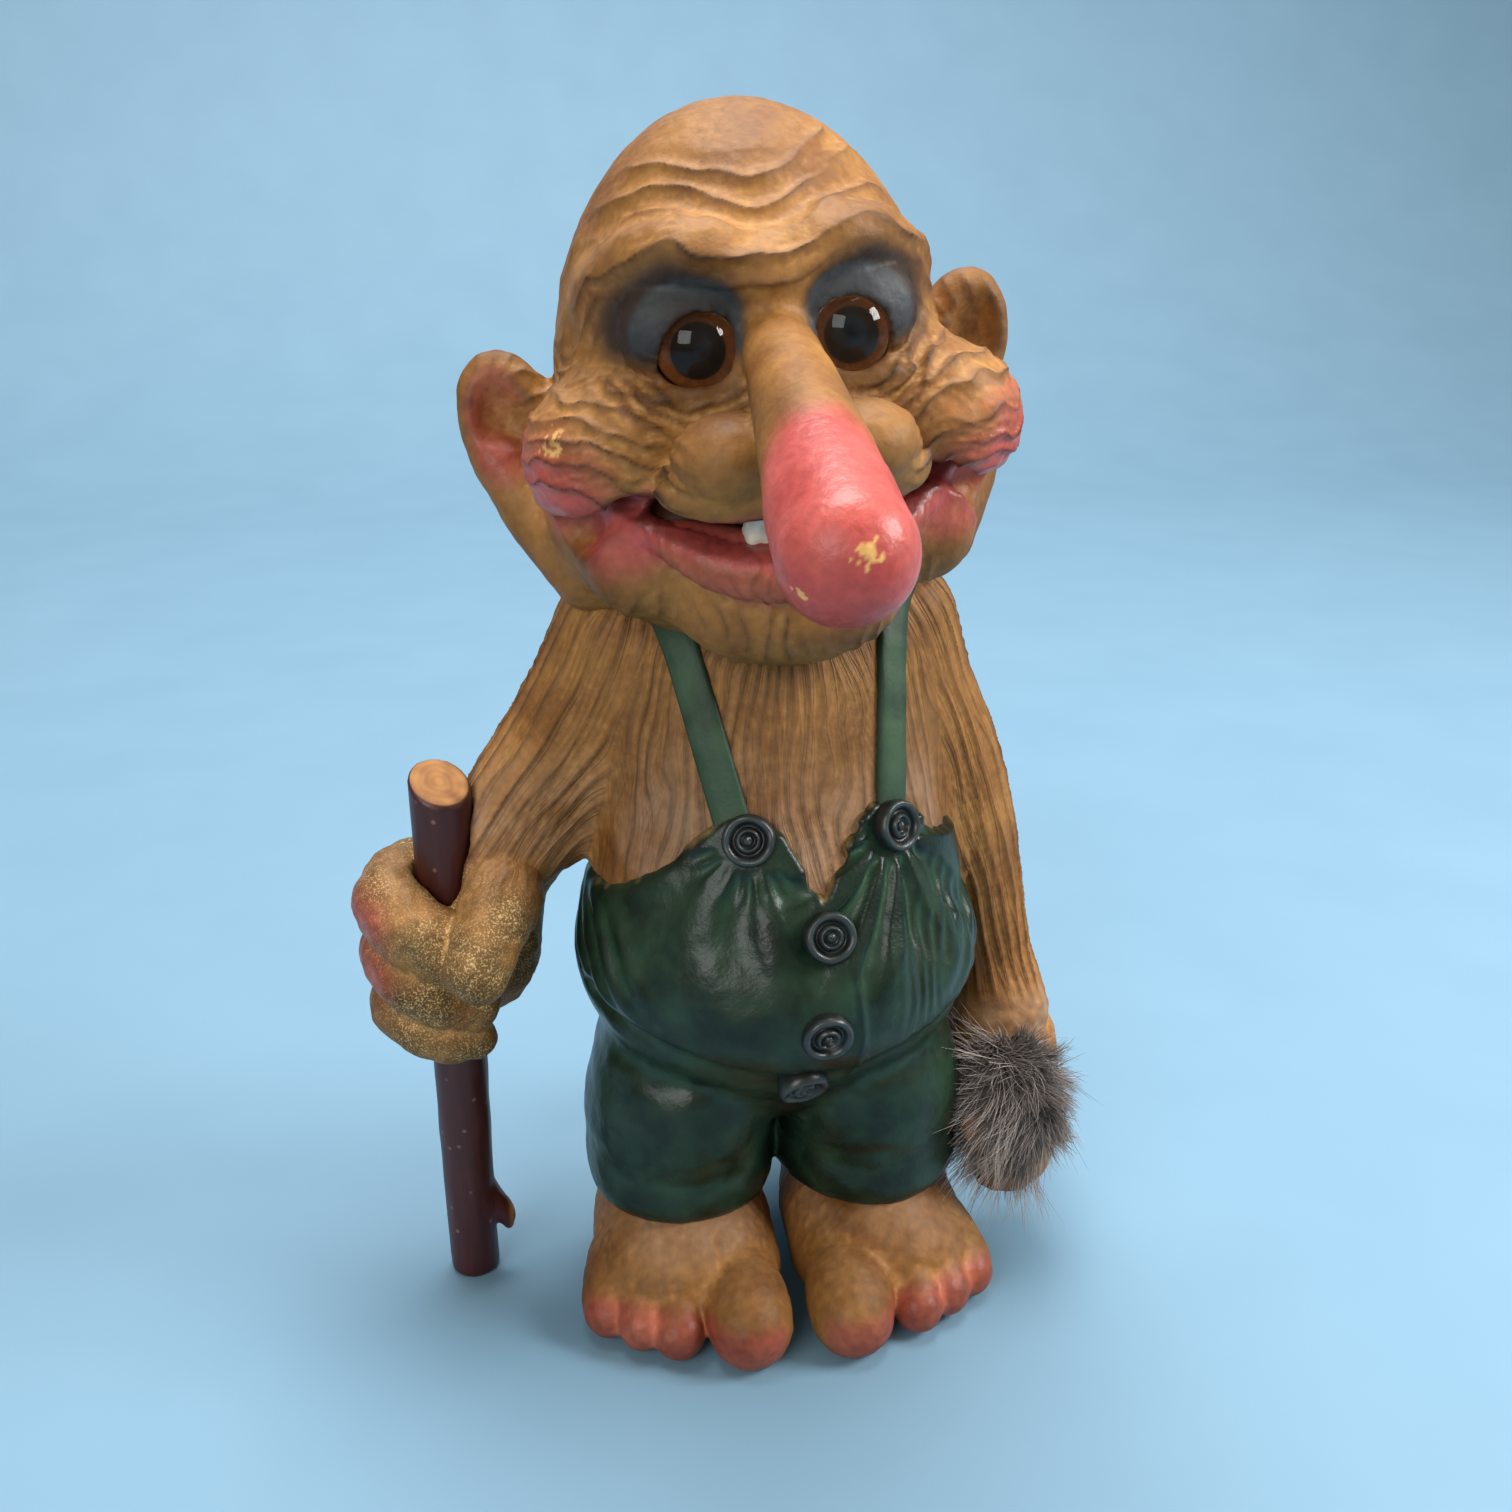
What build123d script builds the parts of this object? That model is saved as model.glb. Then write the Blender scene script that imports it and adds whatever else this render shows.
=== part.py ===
"""Troll figure of painted moulded rubber, with glass eyes, a twig walking stick and a fur tail tuft.

The origin is on the floor midway between the feet. +Z is up, the figure looks along -Y, and +X is
the figure's own left. All sizes are millimetres.
"""

import os
from math import cos, radians, sin

from build123d import *

# Rubber castings: wall of the hollow ones.
CASTING_WALL = 5.0

# Trunk casting, from the crotch up to the neck: height, width, depth and forward shift of each section.
CROTCH_HEIGHT = 42.0
CROTCH_WIDTH = 44.0
CROTCH_DEPTH = 34.0
SEAT_HEIGHT = 52.0
SEAT_WIDTH = 62.0
SEAT_DEPTH = 52.0
SEAT_FORWARD = 1.0
BELLY_HEIGHT = 78.0
BELLY_WIDTH = 77.0
BELLY_DEPTH = 71.0
BELLY_FORWARD = 6.0
CHEST_HEIGHT = 112.0
CHEST_WIDTH = 66.0
CHEST_DEPTH = 54.0
CHEST_FORWARD = 4.0
SHOULDER_HEIGHT = 138.0
SHOULDER_WIDTH = 58.0
SHOULDER_DEPTH = 44.0
SHOULDER_FORWARD = 2.0
NECK_HEIGHT = 160.0
NECK_WIDTH = 34.0
NECK_DEPTH = 32.0

# Dungarees: a thin layer over the trunk with two short legs that end in a rolled hem.
CLOTH = 1.8
BIB_HEIGHT = 114.0
BIB_TIP_SPACING = 29.0
BIB_TIP_WIDTH = 11.0
BIB_SIDE_HEIGHT = 89.0
BIB_NOTCH_HEIGHT = 101.0
BIB_MIDDLE = 4.0
LEG_SPACING = 41.0
LEG_FORWARD = 7.0
LEG_TOP_HEIGHT = 70.0
LEG_TOP_WIDTH = 34.0
LEG_TOP_DEPTH = 44.0
LEG_TOP_INSET = 7.0
KNEE_HEIGHT = 48.0
KNEE_WIDTH = 36.0
KNEE_DEPTH = 50.0
HEM_HEIGHT = 22.0
HEM_ROLL = 10.0
HEM_WIDTH = 38.5
HEM_DEPTH = 51.0
HEM_TUCK = 3.0

# Straps: flat bands from the bib buttons over the shoulders to the back of the waist.
STRAP_WIDTH = 6.5
STRAP_THICKNESS = 1.2
STRAP_SHOULDER_SPACING = 42.0
STRAP_SHOULDER_HEIGHT = 150.0
STRAP_END_HEIGHT = 84.0

# Buttons: moulded discs with a raised rim and a centre boss.
BUTTON_DIAMETER = 11.5
BUTTON_THICKNESS = 3.2
BUTTON_RIM = 1.6
BUTTON_DISH = 1.0
BUTTON_BOSS = 4.0
FRONT_BUTTON_HEIGHTS = (94.0, 76.0, 62.0)

# Feet: heel to instep loft, and four toes from the big one outward.
FOOT_SPACING = 44.0
HEEL_BACK = 13.0
HEEL_WIDTH = 27.0
HEEL_TOP = 22.0
HEEL_ROUNDING = 4.0
ANKLE_BACK = 0.0
ANKLE_WIDTH = 34.0
ANKLE_TOP = 30.0
INSTEP_FRONT = 15.0
INSTEP_WIDTH = 39.0
INSTEP_TOP = 29.0
BALL_FRONT = 31.0
BALL_WIDTH = 38.0
BALL_TOP = 19.0
BIG_TOE_WIDTH = 18.5
BIG_TOE_LENGTH = 26.0
BIG_TOE_TOP = 16.0
SMALL_TOE_WIDTH = 11.5
SMALL_TOE_LENGTH = 20.0
SMALL_TOE_TOP = 13.0
BIG_TOE_FRONT = 35.0
TOE_STEP_BACK = 4.0
TOE_PITCH = 6.8

# Walking stick: a natural twig, thicker at the top, with the stub of a side shoot near the floor.
STICK_X = -66.5
STICK_Y = -3.0
STICK_LENGTH = 115.0
STICK_TOP_DIAMETER = 12.2
STICK_FOOT_DIAMETER = 10.2
STICK_CUT_SLOPE = 28.0
STICK_CUT_TURN = 25.0
STUB_HEIGHT = 19.0
STUB_LENGTH = 10.5
STUB_ROOT_DIAMETER = 8.0
STUB_TIP_DIAMETER = 4.0
STUB_DROOP = 35.0

# Right arm: shoulder to wrist, ending in a fist closed round the stick.
STICK_CLEARANCE = 0.25
FIST_LOW_FINGER = 67.5
FINGER_PITCH = 11.0
FINGER_COUNT = 3
FINGER_THICKNESS = 15.6
FINGER_RING_DIAMETER = 24.5
PALM_WIDTH = 34.0
PALM_HEIGHT = 37.0
PALM_INSET = 5.0
THUMB_ROOT = (-54.0, 1.0, 89.0)
THUMB_BEND = (-53.0, -10.0, 92.0)
THUMB_TIP = (-62.0, -20.0, 90.0)
THUMB_RADII = (8.5, 9.0, 6.5)
RIGHT_SHOULDER = (-28.0, 3.0, 139.5)
RIGHT_UPPER_ARM = (-34.0, 4.0, 127.5)
RIGHT_ELBOW = (-43.5, 5.0, 113.0)
RIGHT_FOREARM = (-54.5, 3.0, 98.5)
RIGHT_WRIST = (-62.0, 1.0, 85.0)
SHOULDER_ROUNDING = 0.4
RIGHT_ARM_RADII = (14.5, 14.5, 14.0, 13.0, 12.0)

# Left arm: hangs at the side and grips the tail.
LEFT_SHOULDER = (25.0, 3.0, 139.0)
LEFT_UPPER_ARM = (31.5, 4.5, 124.5)
LEFT_ELBOW = (41.0, 6.0, 105.0)
LEFT_FOREARM = (47.5, 6.0, 84.0)
LEFT_WRIST = (51.5, 4.0, 66.0)
LEFT_PALM = (54.5, 1.0, 54.0)
LEFT_ARM_RADII = (13.5, 13.0, 11.5, 9.5, 8.0, 8.5)
LEFT_HAND_WIDTH = 20.0
LEFT_HAND_LENGTH = 27.0
LEFT_FINGER_THICKNESS = 8.0
LEFT_FINGER_PITCH = 7.0

# Tail: a tapered rubber tail from the seat round the left side, ending inside the tuft.
TAIL_ROOT = (5.0, 24.0, 60.0)
TAIL_BEND = (15.0, 38.0, 47.0)
TAIL_BACK = (33.0, 43.0, 37.0)
TAIL_SIDE = (52.0, 34.0, 35.0)
TAIL_REACH = (61.5, 18.0, 40.0)
TAIL_GRIP = (62.5, 3.0, 45.0)
TAIL_END = (61.5, -6.0, 38.0)
TAIL_RADII = (8.0, 6.5, 5.5, 5.0, 4.5, 4.0, 3.5)

# Tail tuft: a pelt of fur wrapped round the tail's end.
TUFT_CENTRE = (61.0, -8.0, 29.0)
TUFT_HEIGHT = 50.0
TUFT_WIDTH = 25.0

# Head: skull, jaw, cheeks, nose, ears and brow, in the head's own tilted frame.
HEAD_CENTRE = (-4.0, 0.0, 190.0)
HEAD_TILT = 5.0
CROWN_RISE = 50.0
SKULL_WIDTH = 72.0
SKULL_CAVITY = 54.0
TEMPLE_RISE = 24.0
TEMPLE_WIDTH = 48.0
TEMPLE_DEPTH = 48.0
EAR_LEVEL_WIDTH = 78.0
EAR_LEVEL_DEPTH = 74.0
EAR_LEVEL_DROP = 2.0
JAW_WIDTH = 84.0
JAW_DEPTH = 74.0
JAW_DROP = 22.0
JAW_FORWARD = 4.0
UNDER_JAW_WIDTH = 70.0
UNDER_JAW_DEPTH = 60.0
UNDER_JAW_DROP = 36.0
UNDER_JAW_FORWARD = 7.0
CHIN_BASE_WIDTH = 36.0
CHIN_BASE_DEPTH = 36.0
CHIN_BASE_DROP = 45.0
CHIN_BASE_FORWARD = 10.0
CHIN_WIDTH = 34.0
CHIN_DEPTH = 22.0
CHIN_HEIGHT = 18.0
CHIN_FORWARD = 31.0
CHIN_DROP = 37.0
CHEEK_SPACING = 57.0
CHEEK_WIDTH = 33.0
CHEEK_DEPTH = 34.0
CHEEK_HEIGHT = 28.0
CHEEK_FORWARD = 19.0
CHEEK_DROP = 7.0
LIP_PUFF_SPACING = 20.0
LIP_PUFF_WIDTH = 28.0
LIP_PUFF_DEPTH = 17.0
LIP_PUFF_HEIGHT = 14.0
LIP_PUFF_FORWARD = 40.0
LIP_PUFF_DROP = 15.0
BROW_SPACING = 27.0
BROW_WIDTH = 36.0
BROW_DEPTH = 30.0
BROW_HEIGHT = 19.0
BROW_FORWARD = 21.0
BROW_RISE = 25.0

# Nose: a long drooping taper that swells to a round tip.
NOSE_ROOT_FORWARD = 26.0
NOSE_ROOT_RISE = 14.0
NOSE_ROOT_DIAMETER = 12.0
NOSE_BRIDGE_DIAMETER = 15.0
NOSE_TIP_FORWARD = 89.0
NOSE_TIP_DROP = 14.0
NOSE_TIP_DIAMETER = 21.5
NOSTRIL_SPACING = 22.0
NOSTRIL_DIAMETER = 19.0
NOSTRIL_HEIGHT = 15.0
NOSTRIL_FORWARD = 44.0
NOSTRIL_DROP = 6.0

# Ears: cupped ovals that lean in at the lobe.
RIGHT_EAR = (-45.5, 4.0, -4.0)
LEFT_EAR = (43.5, 8.0, 3.0)
EAR_WIDTH = 20.0
EAR_THICKNESS = 13.0
EAR_HEIGHT = 31.0
EAR_LEAN = 14.0
EAR_CUP_WIDTH = 11.0
EAR_CUP_DEPTH = 12.0
EAR_CUP_HEIGHT = 22.0
LOBE_DROP = 8.0
LOBE_MIDDLE = (44.0, 0.0, -21.0)
LOBE_END = (36.0, -5.0, -33.0)
LOBE_RADII = (5.5, 6.0, 6.5)

# Mouth: a grin cut as an arc, with a rolled lower lip and one tooth.
GRIN_RADIUS = 62.0
GRIN_HEIGHT = 7.0
GRIN_HALF_ANGLE = 25.0
GRIN_DROP = 22.5
GRIN_REACH = 30.0
LOWER_LIP_DIAMETER = 10.0
LOWER_LIP_FORWARD = 41.5
LOWER_LIP_DROP = 30.5
TOOTH_WIDTH = 4.6
TOOTH_HEIGHT = 6.5
TOOTH_DEPTH = 4.0
TOOTH_TAPER = 0.8
TOOTH_OFFSET = -7.0

# Eyes: a glass dome over a painted disc, on a wire shank that is pushed through the skin.
EYE_SPACING = 26.0
EYE_DIAMETER = 14.4
EYE_RISE = 11.0
EYE_FRONT = 37.0
EYE_DOME = 5.5
IRIS_THICKNESS = 1.2
SHANK_DIAMETER = 1.6
SHANK_LENGTH = 12.0
LID_WIDTH = 25.0
LID_DEPTH = 18.0
LID_HEIGHT = 21.0
LID_RISE = 4.0
LID_SPACING = 28.4
LID_LIP = 0.7
SOCKET_WIDTH = 31.0
SOCKET_DEPTH = 22.0
SOCKET_HEIGHT = 27.0
SOCKET_FORWARD = 43.5

RIGHT = -1
LEFT = 1
SIDE_NAMES = {RIGHT: "right", LEFT: "left"}
UNIT_BALL = Sphere(1)


def ellipsoid(width, depth, height):
    """A solid ellipsoid about the origin, from its three overall sizes."""
    return scale(UNIT_BALL, by=(width / 2, depth / 2, height / 2), mode=Mode.PRIVATE)


def limb(points, radii):
    """A tapered limb: a loft through one circle at each point, square to the way the limb runs there."""
    places = [Vector(*point) for point in points]
    last = len(places) - 1
    with BuildPart() as part:
        for index, (place, radius) in enumerate(zip(places, radii)):
            run = places[min(index + 1, last)] - places[max(index - 1, 0)]
            with BuildSketch(Plane(origin=place, x_dir=(0, 1, 0), z_dir=run)):
                Circle(radius)
        loft()
    return part.part


def level_loft(sections):
    """A loft through level ellipses, each given as height, centre x, centre y, width and depth."""
    with BuildPart() as part:
        for height, x, y, width, depth in sections:
            with BuildSketch(Plane.XY.offset(height)):
                with Locations((x, y)):
                    Ellipse(depth / 2, width / 2, rotation=90)
        loft()
    return part.part


def trunk_sections(grow):
    """The trunk's sections, each widened all round by grow."""
    return [
        (CROTCH_HEIGHT - grow, 0, -SEAT_FORWARD, CROTCH_WIDTH + 2 * grow, CROTCH_DEPTH + 2 * grow),
        (SEAT_HEIGHT, 0, -SEAT_FORWARD, SEAT_WIDTH + 2 * grow, SEAT_DEPTH + 2 * grow),
        (BELLY_HEIGHT, 0, -BELLY_FORWARD, BELLY_WIDTH + 2 * grow, BELLY_DEPTH + 2 * grow),
        (CHEST_HEIGHT, 0, -CHEST_FORWARD, CHEST_WIDTH + 2 * grow, CHEST_DEPTH + 2 * grow),
        (SHOULDER_HEIGHT, 0, -SHOULDER_FORWARD, SHOULDER_WIDTH + 2 * grow, SHOULDER_DEPTH + 2 * grow),
        (NECK_HEIGHT, 0, 0, NECK_WIDTH + 2 * grow, NECK_DEPTH + 2 * grow),
    ]


def finish_piece(part, name):
    """Labels a finished piece and writes it to its own file."""
    part.label = name
    export_step(part, f"parts/{name}.step")


os.makedirs("parts", exist_ok=True)

# Trunk: a hollow casting whose neck plugs into the head.
cavity_sections = trunk_sections(-CASTING_WALL)
del cavity_sections[0]
cavity_sections[0] = (SEAT_HEIGHT + CASTING_WALL, *cavity_sections[0][1:])
cavity_sections[-1] = (NECK_HEIGHT - CASTING_WALL, *cavity_sections[-1][1:])
trunk_form = level_loft(trunk_sections(0))
trunk_cavity = level_loft(cavity_sections)
with BuildPart() as trunk:
    add(trunk_form)
    add(trunk_cavity, mode=Mode.SUBTRACT)


# Feet: heel, ankle, instep and ball are lofted front to back, the toes are added, and the sole is cut flat.
def build_foot(side):
    foot_sections = [
        (HEEL_BACK, HEEL_WIDTH - HEEL_ROUNDING, HEEL_TOP - HEEL_ROUNDING),
        (ANKLE_BACK, ANKLE_WIDTH, ANKLE_TOP),
        (-INSTEP_FRONT, INSTEP_WIDTH, INSTEP_TOP),
        (-BALL_FRONT, BALL_WIDTH, BALL_TOP),
    ]
    middle = side * FOOT_SPACING / 2
    toe_row = middle - side * (BALL_WIDTH - BIG_TOE_WIDTH) / 2
    with BuildPart() as foot:
        for back, width, top in foot_sections:
            with BuildSketch(Plane(origin=(middle, back, top / 4), x_dir=(1, 0, 0), z_dir=(0, -1, 0))):
                Ellipse(width / 2, top * 3 / 4)
        loft()
        with Locations((middle, HEEL_BACK, HEEL_TOP / 4)):
            add(ellipsoid(HEEL_WIDTH, HEEL_WIDTH, HEEL_TOP * 3 / 2))
        with Locations((toe_row, -BIG_TOE_FRONT, BIG_TOE_TOP * 0.4)):
            add(ellipsoid(BIG_TOE_WIDTH, BIG_TOE_LENGTH, BIG_TOE_TOP * 1.2))
        for number in (1, 2, 3):
            across = toe_row + side * (BIG_TOE_WIDTH / 2 + TOE_PITCH * (number - 0.5))
            along = -BIG_TOE_FRONT + TOE_STEP_BACK * (number - 0.6)
            with Locations((across, along, SMALL_TOE_TOP * 0.4)):
                add(ellipsoid(SMALL_TOE_WIDTH, SMALL_TOE_LENGTH, SMALL_TOE_TOP * 1.2))
        split(bisect_by=Plane.XY, keep=Keep.TOP)
    return foot.part


feet = {side: build_foot(side) for side in (RIGHT, LEFT)}

# Dungarees: the cloth layer is cut to the bib's outline, the legs are added, and the trunk and feet fit inside.
cloth_form = level_loft(trunk_sections(CLOTH))
bib_reach = BELLY_WIDTH + BELLY_DEPTH
tip_inner = BIB_TIP_SPACING / 2 - BIB_TIP_WIDTH / 2
tip_outer = BIB_TIP_SPACING / 2 + BIB_TIP_WIDTH / 2
with BuildPart() as bib_outline:
    with BuildSketch(Plane(origin=(BIB_MIDDLE, 0, 0), x_dir=(1, 0, 0), z_dir=(0, -1, 0))):
        with BuildLine():
            Polyline(
                (-bib_reach, 0),
                (-bib_reach, BIB_SIDE_HEIGHT),
                (-BELLY_WIDTH / 2, BIB_SIDE_HEIGHT),
                (-tip_outer, BIB_HEIGHT),
                (-tip_inner, BIB_HEIGHT),
                (0, BIB_NOTCH_HEIGHT),
                (tip_inner, BIB_HEIGHT),
                (tip_outer, BIB_HEIGHT),
                (BELLY_WIDTH / 2, BIB_SIDE_HEIGHT),
                (bib_reach, BIB_SIDE_HEIGHT),
                (bib_reach, 0),
                close=True,
            )
        make_face()
    extrude(amount=bib_reach)
    with BuildSketch(Plane.XY):
        with Locations((0, bib_reach / 2)):
            Rectangle(2 * bib_reach, bib_reach)
    extrude(amount=BIB_SIDE_HEIGHT)


def build_leg(side):
    """One trouser leg: a plain column with a rolled cuff round its end."""
    x = side * LEG_SPACING / 2
    y = -LEG_FORWARD
    tuck = HEM_TUCK
    column = level_loft(
        [
            (HEM_HEIGHT + HEM_ROLL / 3, x, y, HEM_WIDTH - 3 * tuck, HEM_DEPTH - 3 * tuck),
            (KNEE_HEIGHT, x, y, KNEE_WIDTH, KNEE_DEPTH),
            (LEG_TOP_HEIGHT, x - side * LEG_TOP_INSET, y, LEG_TOP_WIDTH, LEG_TOP_DEPTH),
        ]
    )
    cuff = level_loft(
        [
            (HEM_HEIGHT, x, y, HEM_WIDTH - tuck, HEM_DEPTH - tuck),
            (HEM_HEIGHT + HEM_ROLL / 3, x, y, HEM_WIDTH, HEM_DEPTH),
            (HEM_HEIGHT + HEM_ROLL, x, y, HEM_WIDTH - tuck, HEM_DEPTH - tuck),
        ]
    )
    with BuildPart() as leg:
        add(column)
        add(cuff)
    return leg.part


with BuildPart() as dungarees:
    add(cloth_form)
    add(bib_outline.part, mode=Mode.INTERSECT)
    for side in (RIGHT, LEFT):
        add(build_leg(side))
    add(trunk_form, mode=Mode.SUBTRACT)
    for side in (RIGHT, LEFT):
        add(feet[side], mode=Mode.SUBTRACT)


# Straps: the part of a thin layer over the trunk that lies inside a slanting band, seen from the front.
strap_layer = level_loft(trunk_sections(STRAP_THICKNESS))


def build_strap(side):
    low = (BIB_MIDDLE + side * BIB_TIP_SPACING / 2, BIB_HEIGHT - BUTTON_DIAMETER / 2)
    high = (side * STRAP_SHOULDER_SPACING / 2, STRAP_SHOULDER_HEIGHT)
    slant = (high[0] - low[0]) / (high[1] - low[1])
    top = (low[0] + slant * (NECK_HEIGHT - low[1]), NECK_HEIGHT)
    end = (low[0], STRAP_END_HEIGHT)
    half = STRAP_WIDTH / 2
    with BuildPart() as strap:
        with BuildSketch(Plane.XZ):
            with BuildLine():
                Polyline(
                    (end[0] - half, end[1]),
                    (low[0] - half, low[1]),
                    (top[0] - half, top[1]),
                    (top[0] + half, top[1]),
                    (low[0] + half, low[1]),
                    (end[0] + half, end[1]),
                    close=True,
                )
            make_face()
        extrude(amount=BELLY_DEPTH, both=True)
        add(strap_layer, mode=Mode.INTERSECT)
        add(trunk_form, mode=Mode.SUBTRACT)
        add(dungarees.part, mode=Mode.SUBTRACT)
    return strap.part


straps = {side: build_strap(side) for side in (RIGHT, LEFT)}


# Buttons: a revolved disc with a raised rim and a boss, set square to the cloth and cut to lie on it.
def build_button(x, height, neighbours):
    sight = Axis((x, -BELLY_DEPTH, height), (0, 1, 0))
    seat, normal = cloth_form.find_intersection_points(sight)[0]
    face = Plane(origin=seat, x_dir=(1, 0, 0), z_dir=normal)
    radius = BUTTON_DIAMETER / 2
    floor = BUTTON_THICKNESS - BUTTON_DISH
    with BuildPart() as button:
        with BuildSketch(Plane(origin=seat, x_dir=face.x_dir, z_dir=-face.y_dir)):
            with BuildLine():
                Polyline(
                    (0, -CLOTH / 2),
                    (radius, -CLOTH / 2),
                    (radius, BUTTON_THICKNESS - BUTTON_DISH / 2),
                    (radius - BUTTON_DISH / 2, BUTTON_THICKNESS),
                    (radius - BUTTON_RIM, BUTTON_THICKNESS),
                    (radius - BUTTON_RIM - BUTTON_DISH / 2, floor),
                    (BUTTON_BOSS / 2, floor),
                    (BUTTON_BOSS / 2 - BUTTON_DISH / 2, BUTTON_THICKNESS),
                    (0, BUTTON_THICKNESS),
                    close=True,
                )
            make_face()
        revolve(axis=Axis(seat, normal))
        for neighbour in neighbours:
            add(neighbour, mode=Mode.SUBTRACT)
    return button.part


bib_button_height = BIB_HEIGHT - BUTTON_DIAMETER / 4
strap_buttons = {}
for side in (RIGHT, LEFT):
    tip = BIB_MIDDLE + side * BIB_TIP_SPACING / 2
    strap_buttons[side] = build_button(tip, bib_button_height, [dungarees.part, straps[side]])
front_buttons = [build_button(BIB_MIDDLE, height, [dungarees.part]) for height in FRONT_BUTTON_HEIGHTS]

# Walking stick: a tapered round twig, cut off aslant at the top, with a drooping stub near its foot.
stub_run = (cos(radians(STUB_DROOP)), 0, -sin(radians(STUB_DROOP)))
cut_lean = sin(radians(STICK_CUT_SLOPE))
cut_face = (
    cut_lean * sin(radians(STICK_CUT_TURN)),
    -cut_lean * cos(radians(STICK_CUT_TURN)),
    cos(radians(STICK_CUT_SLOPE)),
)


def stick_taper(clearance):
    """The twig's plain taper, longer than the cut twig, widened all round by clearance."""
    top = STICK_LENGTH + STICK_TOP_DIAMETER
    return level_loft(
        [
            (0, STICK_X, STICK_Y, STICK_FOOT_DIAMETER + 2 * clearance, STICK_FOOT_DIAMETER + 2 * clearance),
            (top, STICK_X, STICK_Y, STICK_TOP_DIAMETER + 2 * clearance, STICK_TOP_DIAMETER + 2 * clearance),
        ]
    )


with BuildPart() as walking_stick:
    add(stick_taper(0))
    split(bisect_by=Plane(origin=(STICK_X, STICK_Y, STICK_LENGTH), z_dir=cut_face), keep=Keep.BOTTOM)
    stub_plane = Plane(origin=(STICK_X, STICK_Y, STUB_HEIGHT), z_dir=stub_run)
    with BuildSketch(stub_plane):
        Circle(STUB_ROOT_DIAMETER / 2)
    with BuildSketch(stub_plane.offset(STUB_LENGTH)):
        Circle(STUB_TIP_DIAMETER / 2)
    loft()

# Head frame: its own upright axis leans toward the figure's right.
head_frame = Plane(
    origin=HEAD_CENTRE,
    x_dir=(cos(radians(HEAD_TILT)), 0, sin(radians(HEAD_TILT))),
    z_dir=(-sin(radians(HEAD_TILT)), 0, cos(radians(HEAD_TILT))),
)


def on_head(part):
    """Places a piece that was built in the head's own frame."""
    return part.moved(head_frame.location)


# Eyes: each glass dome, disc and shank lies on one line of sight, built in the head's own frame.
def build_eye(side):
    seat = (side * EYE_SPACING / 2, EYE_DOME - EYE_FRONT, EYE_RISE)
    sight = Plane(origin=seat, x_dir=(1, 0, 0), z_dir=(0, -1, 0))
    with BuildPart() as glass:
        with BuildSketch(Plane(origin=seat, x_dir=(1, 0, 0), z_dir=(0, 0, -1))):
            with BuildLine():
                rim = EYE_DIAMETER / 2
                curve = (rim**2 + EYE_DOME**2) / (2 * EYE_DOME)
                RadiusArc((rim, 0), (0, EYE_DOME), -curve)
                Polyline((0, EYE_DOME), (0, 0), (rim, 0))
            make_face()
        revolve(axis=Axis(seat, (0, -1, 0)))
    with BuildPart(sight) as iris:
        Cylinder(EYE_DIAMETER / 2, IRIS_THICKNESS, align=(Align.CENTER, Align.CENTER, Align.MAX))
    with BuildPart(sight.offset(-IRIS_THICKNESS)) as shank:
        Cylinder(SHANK_DIAMETER / 2, SHANK_LENGTH, align=(Align.CENTER, Align.CENTER, Align.MAX))
    return {"glass": glass.part, "iris": iris.part, "shank": shank.part}


def build_eye_pocket(side):
    """The hole that one eye leaves in the head: disc and shank in one turned form, open to the front."""
    seat = (side * EYE_SPACING / 2, EYE_DOME - EYE_FRONT, EYE_RISE)
    with BuildPart() as pocket:
        with BuildSketch(Plane(origin=seat, x_dir=(1, 0, 0), z_dir=(0, 0, -1))):
            with BuildLine():
                Polyline(
                    (0, -IRIS_THICKNESS - SHANK_LENGTH),
                    (SHANK_DIAMETER / 2, -IRIS_THICKNESS - SHANK_LENGTH),
                    (SHANK_DIAMETER / 2, -IRIS_THICKNESS),
                    (EYE_DIAMETER / 2, -IRIS_THICKNESS),
                    (EYE_DIAMETER / 2, EYE_DOME),
                    (0, EYE_DOME),
                    close=True,
                )
            make_face()
        revolve(axis=Axis(seat, (0, -1, 0)))
    return pocket.part


eyes = {side: build_eye(side) for side in (RIGHT, LEFT)}

# Tooth: a squarish tapered peg that stands behind the lower lip.
tooth_plane = Plane(origin=(TOOTH_OFFSET, LOWER_LIP_DIAMETER / 2 - LOWER_LIP_FORWARD, -LOWER_LIP_DROP))
with BuildPart() as tooth:
    with BuildSketch(tooth_plane):
        RectangleRounded(TOOTH_WIDTH, TOOTH_DEPTH, TOOTH_DEPTH / 4)
    with BuildSketch(tooth_plane.offset(LOWER_LIP_DIAMETER / 2 + TOOTH_HEIGHT)):
        RectangleRounded(TOOTH_WIDTH * TOOTH_TAPER, TOOTH_DEPTH * TOOTH_TAPER, TOOTH_DEPTH / 4 * TOOTH_TAPER)
    loft()

# Head: the forms are fused, then the grin, eye sockets, ear cups and cavity are cut, then lips and lids added.
skull = SKULL_WIDTH / 2
nose_root = (0, -NOSE_ROOT_FORWARD, NOSE_ROOT_RISE)
nose_tip = (0, -NOSE_TIP_FORWARD, -NOSE_TIP_DROP)


def nose_point(share, rise):
    """A point part of the way down the nose, raised above the straight line from root to tip."""
    along = [root + share * (tip - root) for root, tip in zip(nose_root, nose_tip)]
    return (along[0], along[1], along[2] + rise)


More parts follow.
